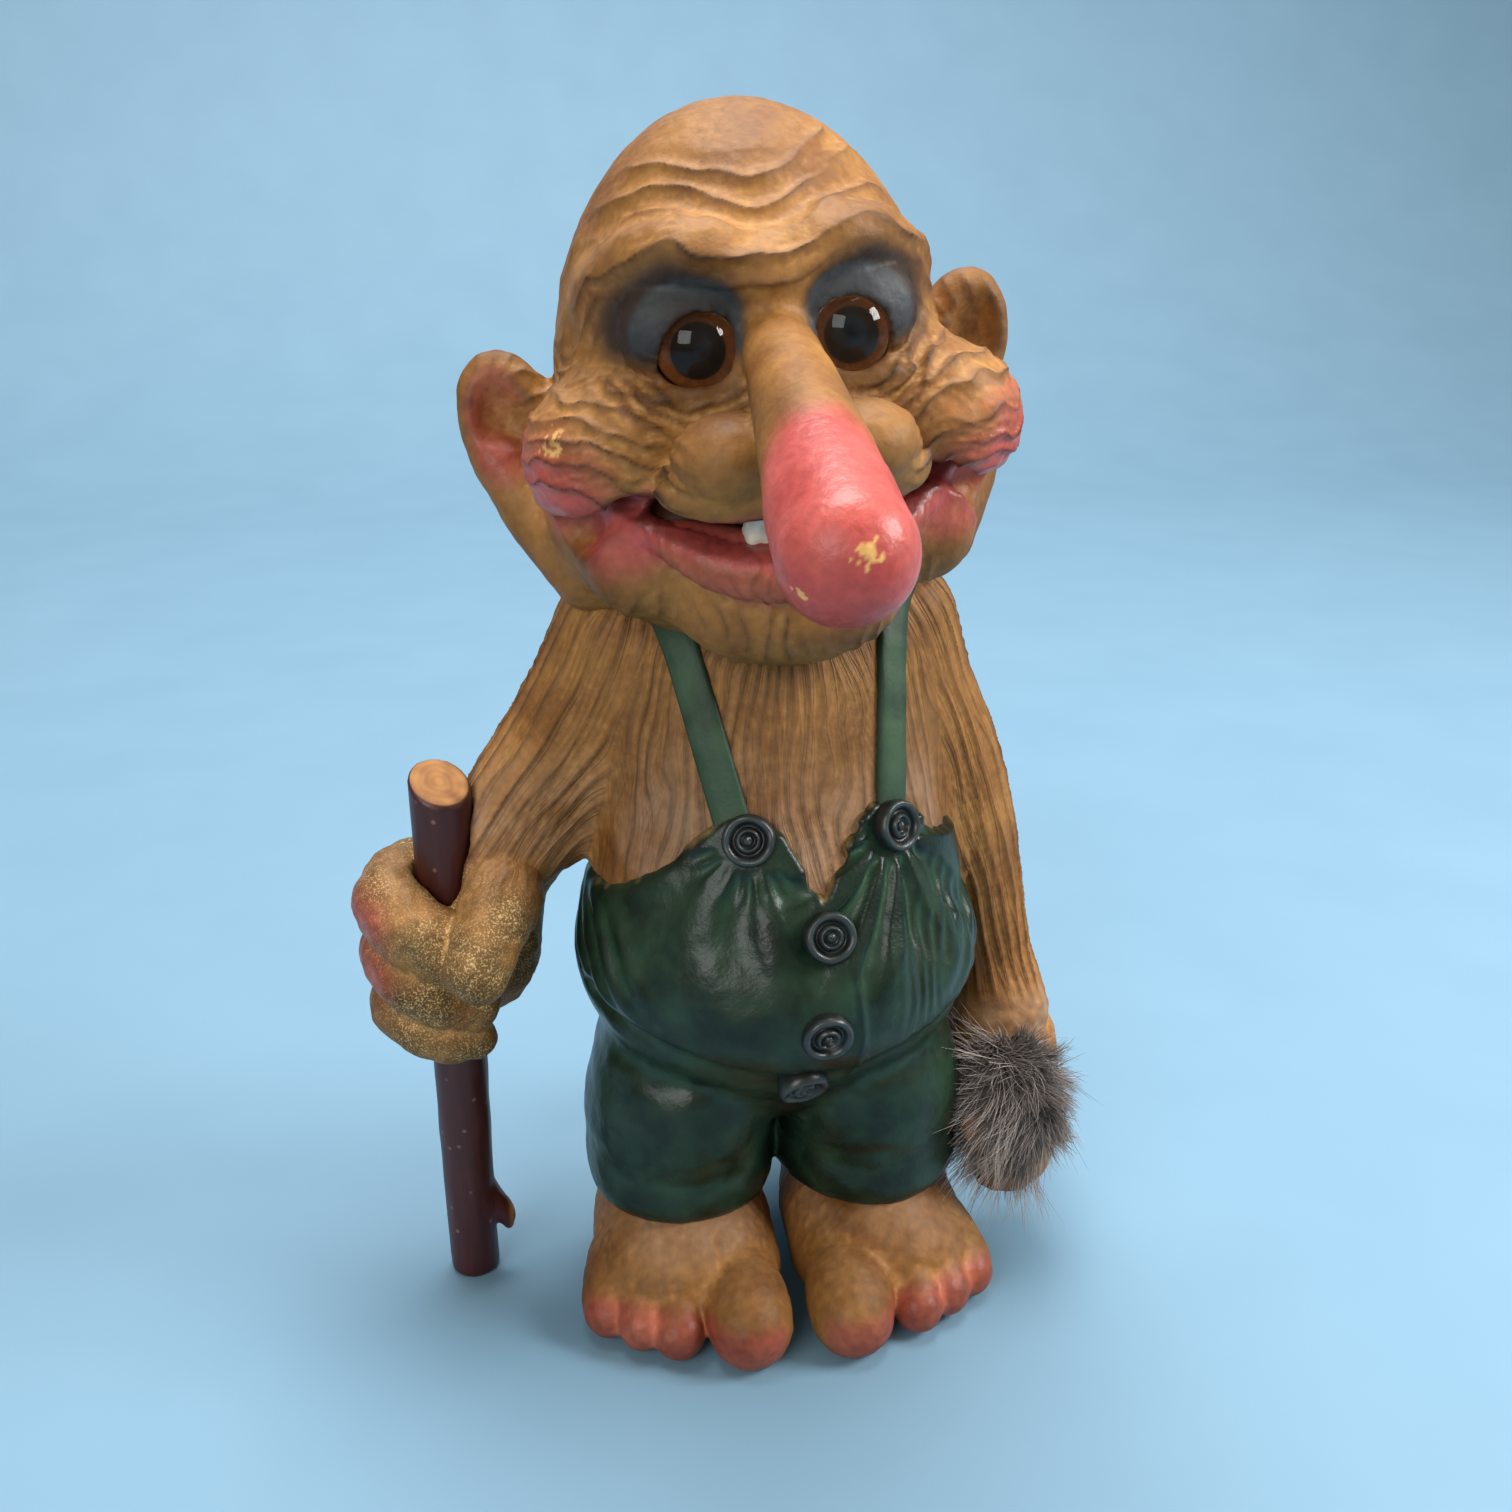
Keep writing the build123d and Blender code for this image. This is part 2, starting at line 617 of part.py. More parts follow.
nose = limb(
    [
        nose_root,
        nose_point(0.3, 0.8),
        nose_point(0.6, 0.6),
        nose_point(0.85, 0),
        nose_point(0.97, 0),
    ],
    [
        NOSE_ROOT_DIAMETER / 2,
        NOSE_BRIDGE_DIAMETER / 2,
        NOSE_BRIDGE_DIAMETER / 2 + 1.6,
        NOSE_TIP_DIAMETER / 2 - 0.5,
        NOSE_TIP_DIAMETER / 2 - 0.3,
    ],
)
face_form = level_loft(
    [
        (-CHIN_BASE_DROP, 0, -CHIN_BASE_FORWARD, CHIN_BASE_WIDTH, CHIN_BASE_DEPTH),
        (-UNDER_JAW_DROP, 0, -UNDER_JAW_FORWARD, UNDER_JAW_WIDTH, UNDER_JAW_DEPTH),
        (-JAW_DROP, 0, -JAW_FORWARD, JAW_WIDTH, JAW_DEPTH),
        (-EAR_LEVEL_DROP, 0, 0, EAR_LEVEL_WIDTH, EAR_LEVEL_DEPTH),
        (TEMPLE_RISE, 0, 0, TEMPLE_WIDTH, TEMPLE_DEPTH),
    ]
)
lip_end = (GRIN_RADIUS * sin(radians(GRIN_HALF_ANGLE)), GRIN_REACH, GRIN_DROP - GRIN_HEIGHT / 3)
lower_lip = limb(
    [
        (-lip_end[0], -lip_end[1], -lip_end[2]),
        (-lip_end[0] / 2, -LOWER_LIP_FORWARD + 3, -LOWER_LIP_DROP + 1.5),
        (0, -LOWER_LIP_FORWARD, -LOWER_LIP_DROP),
        (lip_end[0] / 2, -LOWER_LIP_FORWARD + 3, -LOWER_LIP_DROP + 1.5),
        (lip_end[0], -lip_end[1], -lip_end[2]),
    ],
    [
        LOWER_LIP_DIAMETER / 4,
        LOWER_LIP_DIAMETER / 2.2,
        LOWER_LIP_DIAMETER / 2,
        LOWER_LIP_DIAMETER / 2.2,
        LOWER_LIP_DIAMETER / 4,
    ],
)
with BuildPart() as grin:
    with BuildSketch(Plane.XZ.offset(GRIN_REACH)):
        with BuildLine():
            middle = (0, GRIN_RADIUS - GRIN_DROP)
            turn = 2 * GRIN_HALF_ANGLE
            upper = CenterArc(middle, GRIN_RADIUS - GRIN_HEIGHT / 2, 270 - GRIN_HALF_ANGLE, turn)
            lower = CenterArc(middle, GRIN_RADIUS + GRIN_HEIGHT / 2, 270 - GRIN_HALF_ANGLE, turn)
            Line(upper @ 0, lower @ 0)
            Line(upper @ 1, lower @ 1)
        make_face()
    extrude(amount=GRIN_REACH)

ear_centres = {RIGHT: RIGHT_EAR, LEFT: LEFT_EAR}


def build_lobe(side):
    """The fold of skin that runs from the ear down to the corner of the jaw."""
    ear = ear_centres[side]
    return limb(
        [
            (ear[0] + side, ear[1] - 2, ear[2] - LOBE_DROP),
            (side * LOBE_MIDDLE[0], LOBE_MIDDLE[1], LOBE_MIDDLE[2]),
            (side * LOBE_END[0], LOBE_END[1], LOBE_END[2]),
        ],
        LOBE_RADII,
    )


with BuildPart() as head_form:
    with BuildSketch(Plane.XZ):
        with BuildLine():
            side_line = Spline(
                (0, CROWN_RISE),
                (skull * 0.57, CROWN_RISE * 0.84),
                (skull * 0.98, CROWN_RISE * 0.24),
                (skull, -CROWN_RISE * 0.24),
                (skull * 0.55, -CROWN_RISE * 0.64),
                (0, -CROWN_RISE * 0.76),
                tangents=((1, 0), (-1, 0)),
            )
            Line(side_line @ 1, side_line @ 0)
        make_face()
    revolve(axis=Axis.Z)
    add(face_form)
    with Locations((0, -CHIN_FORWARD, -CHIN_DROP)):
        add(ellipsoid(CHIN_WIDTH, CHIN_DEPTH, CHIN_HEIGHT))
    for side in (RIGHT, LEFT):
        with Locations((side * CHEEK_SPACING / 2, -CHEEK_FORWARD, -CHEEK_DROP)):
            add(ellipsoid(CHEEK_WIDTH, CHEEK_DEPTH, CHEEK_HEIGHT))
        with Locations((side * LIP_PUFF_SPACING / 2, -LIP_PUFF_FORWARD, -LIP_PUFF_DROP)):
            add(ellipsoid(LIP_PUFF_WIDTH, LIP_PUFF_DEPTH, LIP_PUFF_HEIGHT))
        with Locations((side * BROW_SPACING / 2, -BROW_FORWARD, BROW_RISE)):
            add(ellipsoid(BROW_WIDTH, BROW_DEPTH, BROW_HEIGHT))
        with Locations(Location(ear_centres[side], (0, side * EAR_LEAN, 0))):
            add(ellipsoid(EAR_WIDTH, EAR_THICKNESS, EAR_HEIGHT))
        add(build_lobe(side))
    add(grin.part, mode=Mode.SUBTRACT)
    for side in (RIGHT, LEFT):
        with Locations((side * NOSTRIL_SPACING / 2, -NOSTRIL_FORWARD, -NOSTRIL_DROP)):
            add(ellipsoid(NOSTRIL_DIAMETER, NOSTRIL_DIAMETER, NOSTRIL_HEIGHT))
        ear = ear_centres[side]
        cup = (ear[0] + side * EAR_WIDTH / 12, ear[1] - EAR_THICKNESS / 2, ear[2])
        with Locations(Location(cup, (0, side * EAR_LEAN, 0))):
            add(ellipsoid(EAR_CUP_WIDTH, EAR_CUP_DEPTH, EAR_CUP_HEIGHT), mode=Mode.SUBTRACT)
        with Locations((side * LID_SPACING / 2, -SOCKET_FORWARD, EYE_RISE + 1)):
            add(ellipsoid(SOCKET_WIDTH, SOCKET_DEPTH, SOCKET_HEIGHT), mode=Mode.SUBTRACT)
        with Locations((side * LID_SPACING / 2, LID_DEPTH / 2 - EYE_FRONT - LID_LIP, EYE_RISE + LID_RISE)):
            add(ellipsoid(LID_WIDTH, LID_DEPTH, LID_HEIGHT))
    add(lower_lip)
    add(nose)
    with Locations(nose_tip):
        Sphere(NOSE_TIP_DIAMETER / 2)
    with Locations((0, CASTING_WALL, CASTING_WALL)):
        Sphere(SKULL_CAVITY / 2, mode=Mode.SUBTRACT)
    add(tooth.part, mode=Mode.SUBTRACT)
    for side in (RIGHT, LEFT):
        add(build_eye_pocket(side), mode=Mode.SUBTRACT)

with BuildPart() as head:
    add(on_head(head_form.part))
    add(trunk_form, mode=Mode.SUBTRACT)
    for side in (RIGHT, LEFT):
        add(straps[side], mode=Mode.SUBTRACT)

# Right arm: a tapered limb, three fingers as rings round the stick, a palm and a thumb, and the bore.
finger_heights = [FIST_LOW_FINGER + FINGER_PITCH * number for number in range(FINGER_COUNT)]
fist_middle = (finger_heights[0] + finger_heights[-1]) / 2
right_points = [RIGHT_SHOULDER, RIGHT_UPPER_ARM, RIGHT_ELBOW, RIGHT_FOREARM, RIGHT_WRIST]
with BuildPart() as right_arm:
    add(limb(right_points, RIGHT_ARM_RADII))
    with Locations(RIGHT_SHOULDER):
        Sphere(RIGHT_ARM_RADII[0] + SHOULDER_ROUNDING)
    with Locations(*[(STICK_X, STICK_Y, height) for height in finger_heights]):
        Torus(FINGER_RING_DIAMETER / 2, FINGER_THICKNESS / 2)
    with Locations((STICK_X + PALM_INSET, STICK_Y + PALM_INSET, fist_middle)):
        add(ellipsoid(PALM_WIDTH, PALM_WIDTH, PALM_HEIGHT))
    add(limb([THUMB_ROOT, THUMB_BEND, THUMB_TIP], THUMB_RADII))
    with Locations(THUMB_TIP):
        Sphere(THUMB_RADII[-1])
    add(stick_taper(STICK_CLEARANCE), mode=Mode.SUBTRACT)
    add(trunk_form, mode=Mode.SUBTRACT)
    add(dungarees.part, mode=Mode.SUBTRACT)
    add(straps[RIGHT], mode=Mode.SUBTRACT)
    add(head.part, mode=Mode.SUBTRACT)

# Tail: from the seat round the left side to the hand.
tail_points = [TAIL_ROOT, TAIL_BEND, TAIL_BACK, TAIL_SIDE, TAIL_REACH, TAIL_GRIP, TAIL_END]
with BuildPart() as tail:
    add(limb(tail_points, TAIL_RADII))
    add(trunk_form, mode=Mode.SUBTRACT)
    add(dungarees.part, mode=Mode.SUBTRACT)

# Left arm: a tapered limb with a hand whose fingers close round the tail.
left_points = [LEFT_SHOULDER, LEFT_UPPER_ARM, LEFT_ELBOW, LEFT_FOREARM, LEFT_WRIST, LEFT_PALM]
hand_middle = Vector(*LEFT_PALM) - Vector(0, 0, LEFT_HAND_LENGTH / 4)
with BuildPart() as left_arm:
    add(limb(left_points, LEFT_ARM_RADII))
    with Locations(LEFT_SHOULDER):
        Sphere(LEFT_ARM_RADII[0] + SHOULDER_ROUNDING)
    with Locations(hand_middle):
        add(ellipsoid(LEFT_HAND_WIDTH, LEFT_HAND_WIDTH, LEFT_HAND_LENGTH))
    for number in range(FINGER_COUNT):
        drop = LEFT_FINGER_PITCH * (number + 0.5)
        with Locations(hand_middle + Vector(-LEFT_HAND_WIDTH / 3, -LEFT_HAND_WIDTH / 2, LEFT_FINGER_PITCH - drop)):
            add(ellipsoid(1.6 * LEFT_FINGER_THICKNESS, 1.8 * LEFT_FINGER_THICKNESS, LEFT_FINGER_THICKNESS))
    add(trunk_form, mode=Mode.SUBTRACT)
    add(dungarees.part, mode=Mode.SUBTRACT)
    add(straps[LEFT], mode=Mode.SUBTRACT)
    add(head.part, mode=Mode.SUBTRACT)
    add(tail.part, mode=Mode.SUBTRACT)

# Tail tuft: a full spindle of fur that the tail's end and the fingers sit in.
tuft_levels = (0.5, 0.34, -0.08, -0.36, -0.5)
tuft_swell = (0.4, 0.8, 1.0, 0.7, 0.2)
with BuildPart() as tail_tuft:
    for level, swell in zip(tuft_levels, tuft_swell):
        with BuildSketch(Plane(origin=TUFT_CENTRE).offset(TUFT_HEIGHT * level)):
            Circle(TUFT_WIDTH / 2 * swell)
    loft()
    add(tail.part, mode=Mode.SUBTRACT)
    add(left_arm.part, mode=Mode.SUBTRACT)

finish_piece(trunk.part, "trunk")
finish_piece(head.part, "head")
finish_piece(right_arm.part, "right_arm")
finish_piece(left_arm.part, "left_arm")
finish_piece(dungarees.part, "dungarees")
finish_piece(on_head(tooth.part), "tooth")
finish_piece(walking_stick.part, "walking_stick")
finish_piece(tail.part, "tail")
finish_piece(tail_tuft.part, "tail_tuft")
for side in (RIGHT, LEFT):
    finish_piece(feet[side], f"{SIDE_NAMES[side]}_foot")
    finish_piece(straps[side], f"{SIDE_NAMES[side]}_strap")
    finish_piece(strap_buttons[side], f"{SIDE_NAMES[side]}_strap_button")
    for piece_name, piece in eyes[side].items():
        finish_piece(on_head(piece), f"{SIDE_NAMES[side]}_eye_{piece_name}")
for name, button in zip(("top", "middle", "bottom"), front_buttons):
    finish_piece(button, f"{name}_front_button")
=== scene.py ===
# %% [markdown]
# A troll figure of moulded rubber, painted by hand, with glass eyes, a twig for a stick and a fur tail
# tuft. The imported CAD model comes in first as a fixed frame. Every soft, carved form is then sculpted
# over its own solid, close to its place and sizes.

# %% Load the frame
import math

import bpy
import numpy as np
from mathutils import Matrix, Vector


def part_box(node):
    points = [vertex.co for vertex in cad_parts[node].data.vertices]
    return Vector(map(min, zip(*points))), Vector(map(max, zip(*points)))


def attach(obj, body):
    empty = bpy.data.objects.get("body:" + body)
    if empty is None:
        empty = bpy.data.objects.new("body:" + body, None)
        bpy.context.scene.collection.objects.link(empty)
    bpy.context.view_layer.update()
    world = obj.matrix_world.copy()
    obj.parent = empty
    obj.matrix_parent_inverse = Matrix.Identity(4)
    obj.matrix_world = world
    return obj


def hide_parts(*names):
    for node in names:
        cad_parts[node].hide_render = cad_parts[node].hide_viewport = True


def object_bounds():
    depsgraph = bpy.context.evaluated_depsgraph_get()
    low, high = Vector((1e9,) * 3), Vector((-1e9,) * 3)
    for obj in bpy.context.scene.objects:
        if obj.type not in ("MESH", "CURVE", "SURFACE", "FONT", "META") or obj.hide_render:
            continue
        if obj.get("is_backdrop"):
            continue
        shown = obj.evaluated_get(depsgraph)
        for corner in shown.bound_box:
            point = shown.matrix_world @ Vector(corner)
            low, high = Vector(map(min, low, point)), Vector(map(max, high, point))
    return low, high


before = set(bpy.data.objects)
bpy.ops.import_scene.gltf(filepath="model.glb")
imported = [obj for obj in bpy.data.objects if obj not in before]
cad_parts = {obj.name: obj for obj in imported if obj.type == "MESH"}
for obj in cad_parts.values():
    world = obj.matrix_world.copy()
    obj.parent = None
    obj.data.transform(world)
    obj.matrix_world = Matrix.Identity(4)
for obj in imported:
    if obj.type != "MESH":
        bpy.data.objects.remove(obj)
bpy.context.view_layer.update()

import openvdb
from mathutils import Matrix, Vector, noise

MM = 0.001
print("nodes in the frame:", len(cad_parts))

# %% [markdown]
# The camera stands where the photograph was taken from: a little to the left of the figure's front,
# looking down at about 20 degrees, close enough that the head looks large. A 36 mm lens on a 36 mm sensor
# gives a field of view of 53 degrees across the square picture.

# %% Camera
CAMERA_PLACE = Vector((-50.7, -287.6, 221.6)) * MM
CAMERA_PITCH = math.radians(20.0)
CAMERA_TURN = math.radians(-9.47)

camera_data = bpy.data.cameras.new("camera")
camera_data.sensor_width = 36.0
camera_data.lens = 36.0
camera_data.clip_start = 0.01
camera = bpy.data.objects.new("camera", camera_data)
camera.location = CAMERA_PLACE
camera.rotation_euler = (math.pi / 2 - CAMERA_PITCH, 0.0, CAMERA_TURN)
bpy.context.scene.collection.objects.link(camera)
bpy.context.scene.camera = camera
print("camera is", round(CAMERA_PLACE.length / MM), "mm from the figure's base")

# %% [markdown]
# Sculpting needs forms that melt into each other, as clay does. A signed distance on a grid of points
# gives that: each form says how far every point is from its surface, and a smooth minimum joins two forms
# with a rounded crease. Metaballs or a remeshed pile of spheres would also join, but with less say over
# each crease. At the end the grid's zero surface becomes a mesh of even quads.

# %% Clay on a grid
FAR = 12.0


class Clay:
    """Signed distances in millimetres on an even grid. They are less than zero inside the clay."""

    def __init__(self, low, high, step):
        counts = [int((b - a) / step) + 2 for a, b in zip(low, high)]
        self.step = step
        self.low = np.array(low, np.float32)
        self.axes = [a + step * np.arange(n, dtype=np.float32) for a, n in zip(low, counts)]
        self.field = np.full(counts, FAR, np.float32)

    def window(self, low, high, margin):
        """The part of the grid near a form, and its coordinates."""
        part = []
        for axis, a, b in zip(self.axes, low, high):
            part.append(slice(np.searchsorted(axis, a - margin), np.searchsorted(axis, b + margin)))
        x, y, z = (axis[p] for axis, p in zip(self.axes, part))
        return tuple(part), x[:, None, None], y[None, :, None], z[None, None, :]

    def add(self, form, melt=0.0):
        """Joins a form to the clay. The crease is rounded over about melt millimetres."""
        part, x, y, z = self.window(form.low, form.high, melt + 4.0)
        here = self.field[part]
        other = form.distance(x, y, z)
        self.field[part] = np.minimum(here, other) - crease(here, other, melt)

    def cut(self, form, melt=0.0):
        """Takes a form out of the clay."""
        part, x, y, z = self.window(form.low, form.high, melt + 4.0)
        here = self.field[part]
        other = -form.distance(x, y, z)
        self.field[part] = np.maximum(here, other) + crease(here, other, melt)

    def keep(self, other, melt=0.0):
        """Keeps only what lies inside a field of distances on the whole grid."""
        self.field = np.maximum(self.field, other) + crease(self.field, other, melt)

    def surface(self, rounds=0):
        """The zero surface as points in millimetres and faces of four corners, evened out in some rounds."""
        grid = openvdb.FloatGrid(FAR)
        grid.copyFromArray(self.field)
        points, quads = grid.convertToQuads()
        points = points * self.step + self.low
        faces = quads[:, ::-1].astype(np.int32)
        if rounds:
            points = relax(points.astype(float), faces, rounds)
        return points, faces


def crease(a, b, melt):
    """How much a smooth minimum dips below the plain one."""
    if melt <= 0:
        return 0.0
    near = np.maximum(melt - np.abs(a - b), 0.0) / melt
    return near * near * melt / 4


class Egg:
    """An ellipsoid, which may lean about the y axis."""

    def __init__(self, centre, radii, lean=0.0):
        self.centre = np.array(centre, float)
        self.radii = np.array(radii, float)
        self.turn = np.array(Matrix.Rotation(math.radians(lean), 3, "Y"))
        reach = max(radii) if lean else self.radii
        self.low = self.centre - reach
        self.high = self.centre + reach

    def distance(self, x, y, z):
        """How far points lie from the surface. It is less than zero inside."""
        place = (x - self.centre[0], y - self.centre[1], z - self.centre[2])
        local = [sum(self.turn[j, i] * place[j] for j in range(3)) for i in range(3)]
        near = np.sqrt(sum((part / radius) ** 2 for part, radius in zip(local, self.radii)))
        slope = np.sqrt(sum((part / radius**2) ** 2 for part, radius in zip(local, self.radii)))
        return near * (near - 1.0) / np.maximum(slope, 1e-6)


class Limb:
    """A chain of tapered round rods through points, smoothed between them."""

    def __init__(self, points, radii, smooth=6):
        run = smooth_run(np.column_stack([np.array(points, float), np.array(radii, float)]), smooth)
        self.points = run[:, :3]
        self.radii = run[:, 3]
        self.low = (self.points - self.radii[:, None]).min(0)
        self.high = (self.points + self.radii[:, None]).max(0)

    def distance(self, x, y, z):
        """How far points lie from the surface. It is less than zero inside."""
        best = None
        for a, b, ra, rb in zip(self.points, self.points[1:], self.radii, self.radii[1:]):
            along = b - a
            px, py, pz = x - a[0], y - a[1], z - a[2]
            share = np.clip((px * along[0] + py * along[1] + pz * along[2]) / (along @ along), 0.0, 1.0)
            gap = (px - share * along[0]) ** 2 + (py - share * along[1]) ** 2 + (pz - share * along[2]) ** 2
            here = np.sqrt(gap) - (ra + share * (rb - ra))
            best = here if best is None else np.minimum(best, here)
        return best


def smooth_run(rows, steps):
    """A smooth curve through rows of numbers, with the given steps between each two."""
    rows = np.asarray(rows, float)
    padded = np.vstack([2 * rows[0] - rows[1], rows, 2 * rows[-1] - rows[-2]])
    curve = []
    for before, start, end, after in zip(padded, padded[1:], padded[2:], padded[3:]):
        for t in np.arange(steps) / steps:
            lift = (end - before) * t + (2 * before - 5 * start + 4 * end - after) * t**2
            curve.append(start + 0.5 * (lift + (3 * start - before - 3 * end + after) * t**3))
    return np.vstack([curve, rows[-1]])


print("clay tools ready")

# %% [markdown]
# A sculpted surface becomes a Blender mesh with a few measured masks on its points, such as how deep a
# groove is or how much rose paint lies there. The materials read those masks, so colour follows form.

# %% Meshes from points


def point_normals(points, faces):
    """Unit normals at the points of a quad mesh."""
    across = points[faces[:, 2]] - points[faces[:, 0]]
    along = points[faces[:, 3]] - points[faces[:, 1]]
    flat = np.cross(across, along)
    total = np.zeros_like(points)
    for corner in range(4):
        np.add.at(total, faces[:, corner], flat)
    return total / np.maximum(np.linalg.norm(total, axis=1, keepdims=True), 1e-9)


def neighbour_mean(values, faces):
    """The mean of each point's neighbours along the edges."""
    total = np.zeros_like(values)
    count = np.zeros(len(values))
    for corner in range(4):
        a, b = faces[:, corner], faces[:, (corner + 1) % 4]
        np.add.at(total, a, values[b])
        np.add.at(count, a, 1)
        np.add.at(total, b, values[a])
        np.add.at(count, b, 1)
    return total / (count[:, None] if values.ndim > 1 else count)


def relax(values, faces, rounds):
    """Evens out points or a mask over the mesh."""
    for _ in range(rounds):
        values = 0.5 * values + 0.5 * neighbour_mean(values, faces)
    return values


def grain(points, size, seed=0.0):
    """Smooth noise from -1 to 1 whose blobs are about size millimetres wide. Size may differ by axis."""
    spots = points / np.asarray(size, float) + seed * 7.31
    return np.array([noise.noise(spot) for spot in spots.tolist()])


def fade(value, start, end):
    """Goes smoothly from 0 at start to 1 at end."""
    share = np.clip((value - start) / (end - start), 0.0, 1.0)
    return share * share * (3 - 2 * share)


def band(value, start, full, ebb, end):
    """Goes smoothly from 0 at start to 1 at full, and from 1 at ebb back to 0 at end."""
    return fade(value, start, full) * (1 - fade(value, ebb, end))


def unit_rows(vectors):
    """Each row scaled to a length of 1."""
    return vectors / np.linalg.norm(vectors, axis=1, keepdims=True)


def ring_faces(*shape):
    """Quads between rings of points. The last two sizes are the rings and the points in each ring."""
    index = np.arange(np.prod(shape)).reshape(shape)
    around = np.roll(index, -1, axis=-1)
    corners = [index[..., :-1, :], around[..., :-1, :], around[..., 1:, :], index[..., 1:, :]]
    return np.stack(corners, axis=-1).reshape(-1, 4)


def keep_strand(piece, strand):
    """Keeps the coordinates that follow the hair on a piece's points."""
    layer = piece.data.attributes.new("strand", "FLOAT_VECTOR", "POINT")
    layer.data.foreach_set("vector", strand.astype(np.float32).ravel())


def add_piece(name, points, faces, material, body, masks=None, replaces=()):
    """Makes a mesh object from points in millimetres, with masks, and lets it ride on a body."""
    mesh = bpy.data.meshes.new(name)
    faces = np.asarray(faces, np.int32)
    corners = faces.shape[1]
    mesh.vertices.add(len(points))
    mesh.vertices.foreach_set("co", (np.asarray(points, np.float32) * MM).ravel())
    mesh.loops.add(faces.size)
    mesh.loops.foreach_set("vertex_index", faces.ravel())
    mesh.polygons.add(len(faces))
    mesh.polygons.foreach_set("loop_start", np.arange(0, faces.size, corners, dtype=np.int32))
    mesh.polygons.foreach_set("use_smooth", np.full(len(faces), True))
    mesh.update(calc_edges=True)
    for mask, values in (masks or {}).items():
        layer = mesh.attributes.new(mask, "FLOAT", "POINT")
        layer.data.foreach_set("value", np.asarray(values, np.float32))
    piece = bpy.data.objects.new(name, mesh)
    bpy.context.scene.collection.objects.link(piece)
    mesh.materials.append(material)
    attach(piece, body)
    if replaces:
        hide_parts(*replaces)
    print(name, "has", len(points), "points")
    return piece


# %% [markdown]
# Materials are built from nodes. Small functions add a node with its settings and links, turn a colour
# written as on a paint chart into the linear numbers that the shader needs, and make the steps that every
# paint uses: blotches, masks, mixed colours and bumps.

# %% Node and colour helpers


def set_inputs(tree, made, inputs):
    """Gives a node's inputs their values, or links from other sockets."""
    for key, value in inputs.items():
        if isinstance(value, bpy.types.NodeSocket):
            tree.links.new(value, made.inputs[key])
        else:
            made.inputs[key].default_value = value


def add_node(tree, kind, inputs=None, **settings):
    """Adds one node, with its settings and inputs."""
    made = tree.nodes.new(kind)
    for key, value in settings.items():
        setattr(made, key, value)
    set_inputs(tree, made, inputs or {})
    return made


def paint(code):
    """An sRGB colour such as #b8863f as linear red, green, blue and alpha."""
    parts = [int(code[i : i + 2], 16) / 255 for i in (1, 3, 5)]
    linear = [p / 12.92 if p <= 0.04045 else ((p + 0.055) / 1.055) ** 2.4 for p in parts]
    return (*linear, 1.0)


def new_material(name):
    """An empty material with a surface shader, and that shader's tree and node."""
    material = bpy.data.materials.new(name)
    material.use_nodes = True
    tree = material.node_tree
    return material, tree, tree.nodes["Principled BSDF"]


def blotches(tree, size, detail=2.0, place=None):
    """Smooth noise with blobs about size millimetres wide, over the object or over another place."""
    if place is None:
        place = add_node(tree, "ShaderNodeTexCoord").outputs["Object"]
    inputs = {"Vector": place, "Scale": 1.0 / (size * MM), "Detail": detail}
    return add_node(tree, "ShaderNodeTexNoise", inputs).outputs["Fac"]


def read_mask(tree, name):
    """A mask that lies on the mesh's points."""
    return add_node(tree, "ShaderNodeAttribute", attribute_name=name).outputs["Fac"]


def rescale(tree, value, low=0.0, high=1.0, to_low=0.0, to_high=1.0):
    """Stretches the range from low to high to a new range."""
    inputs = {"Value": value, "From Min": low, "From Max": high, "To Min": to_low, "To Max": to_high}
    return add_node(tree, "ShaderNodeMapRange", inputs).outputs["Result"]


def arithmetic(tree, operation, *values):
    """One step of arithmetic on shares, such as MULTIPLY."""
    return add_node(tree, "ShaderNodeMath", dict(enumerate(values)), operation=operation).outputs[0]


def mix_paint(tree, share, first, second, blend="MIX"):
    """Two colours mixed by a share. Each is a colour code or a socket."""
    first, second = (paint(c) if isinstance(c, str) else c for c in (first, second))
    inputs = {"Factor": share, 6: first, 7: second}
    return add_node(tree, "ShaderNodeMix", inputs, data_type="RGBA", blend_type=blend).outputs[2]


def bumps(tree, height, strength, reach, under=None, invert=False):
    """A normal that makes the light see bumps about reach millimetres high, over another normal if given."""
    inputs = {"Height": height, "Strength": strength, "Distance": reach * MM}
    if under is not None:
        inputs["Normal"] = under
    return add_node(tree, "ShaderNodeBump", inputs, invert=invert).outputs["Normal"]
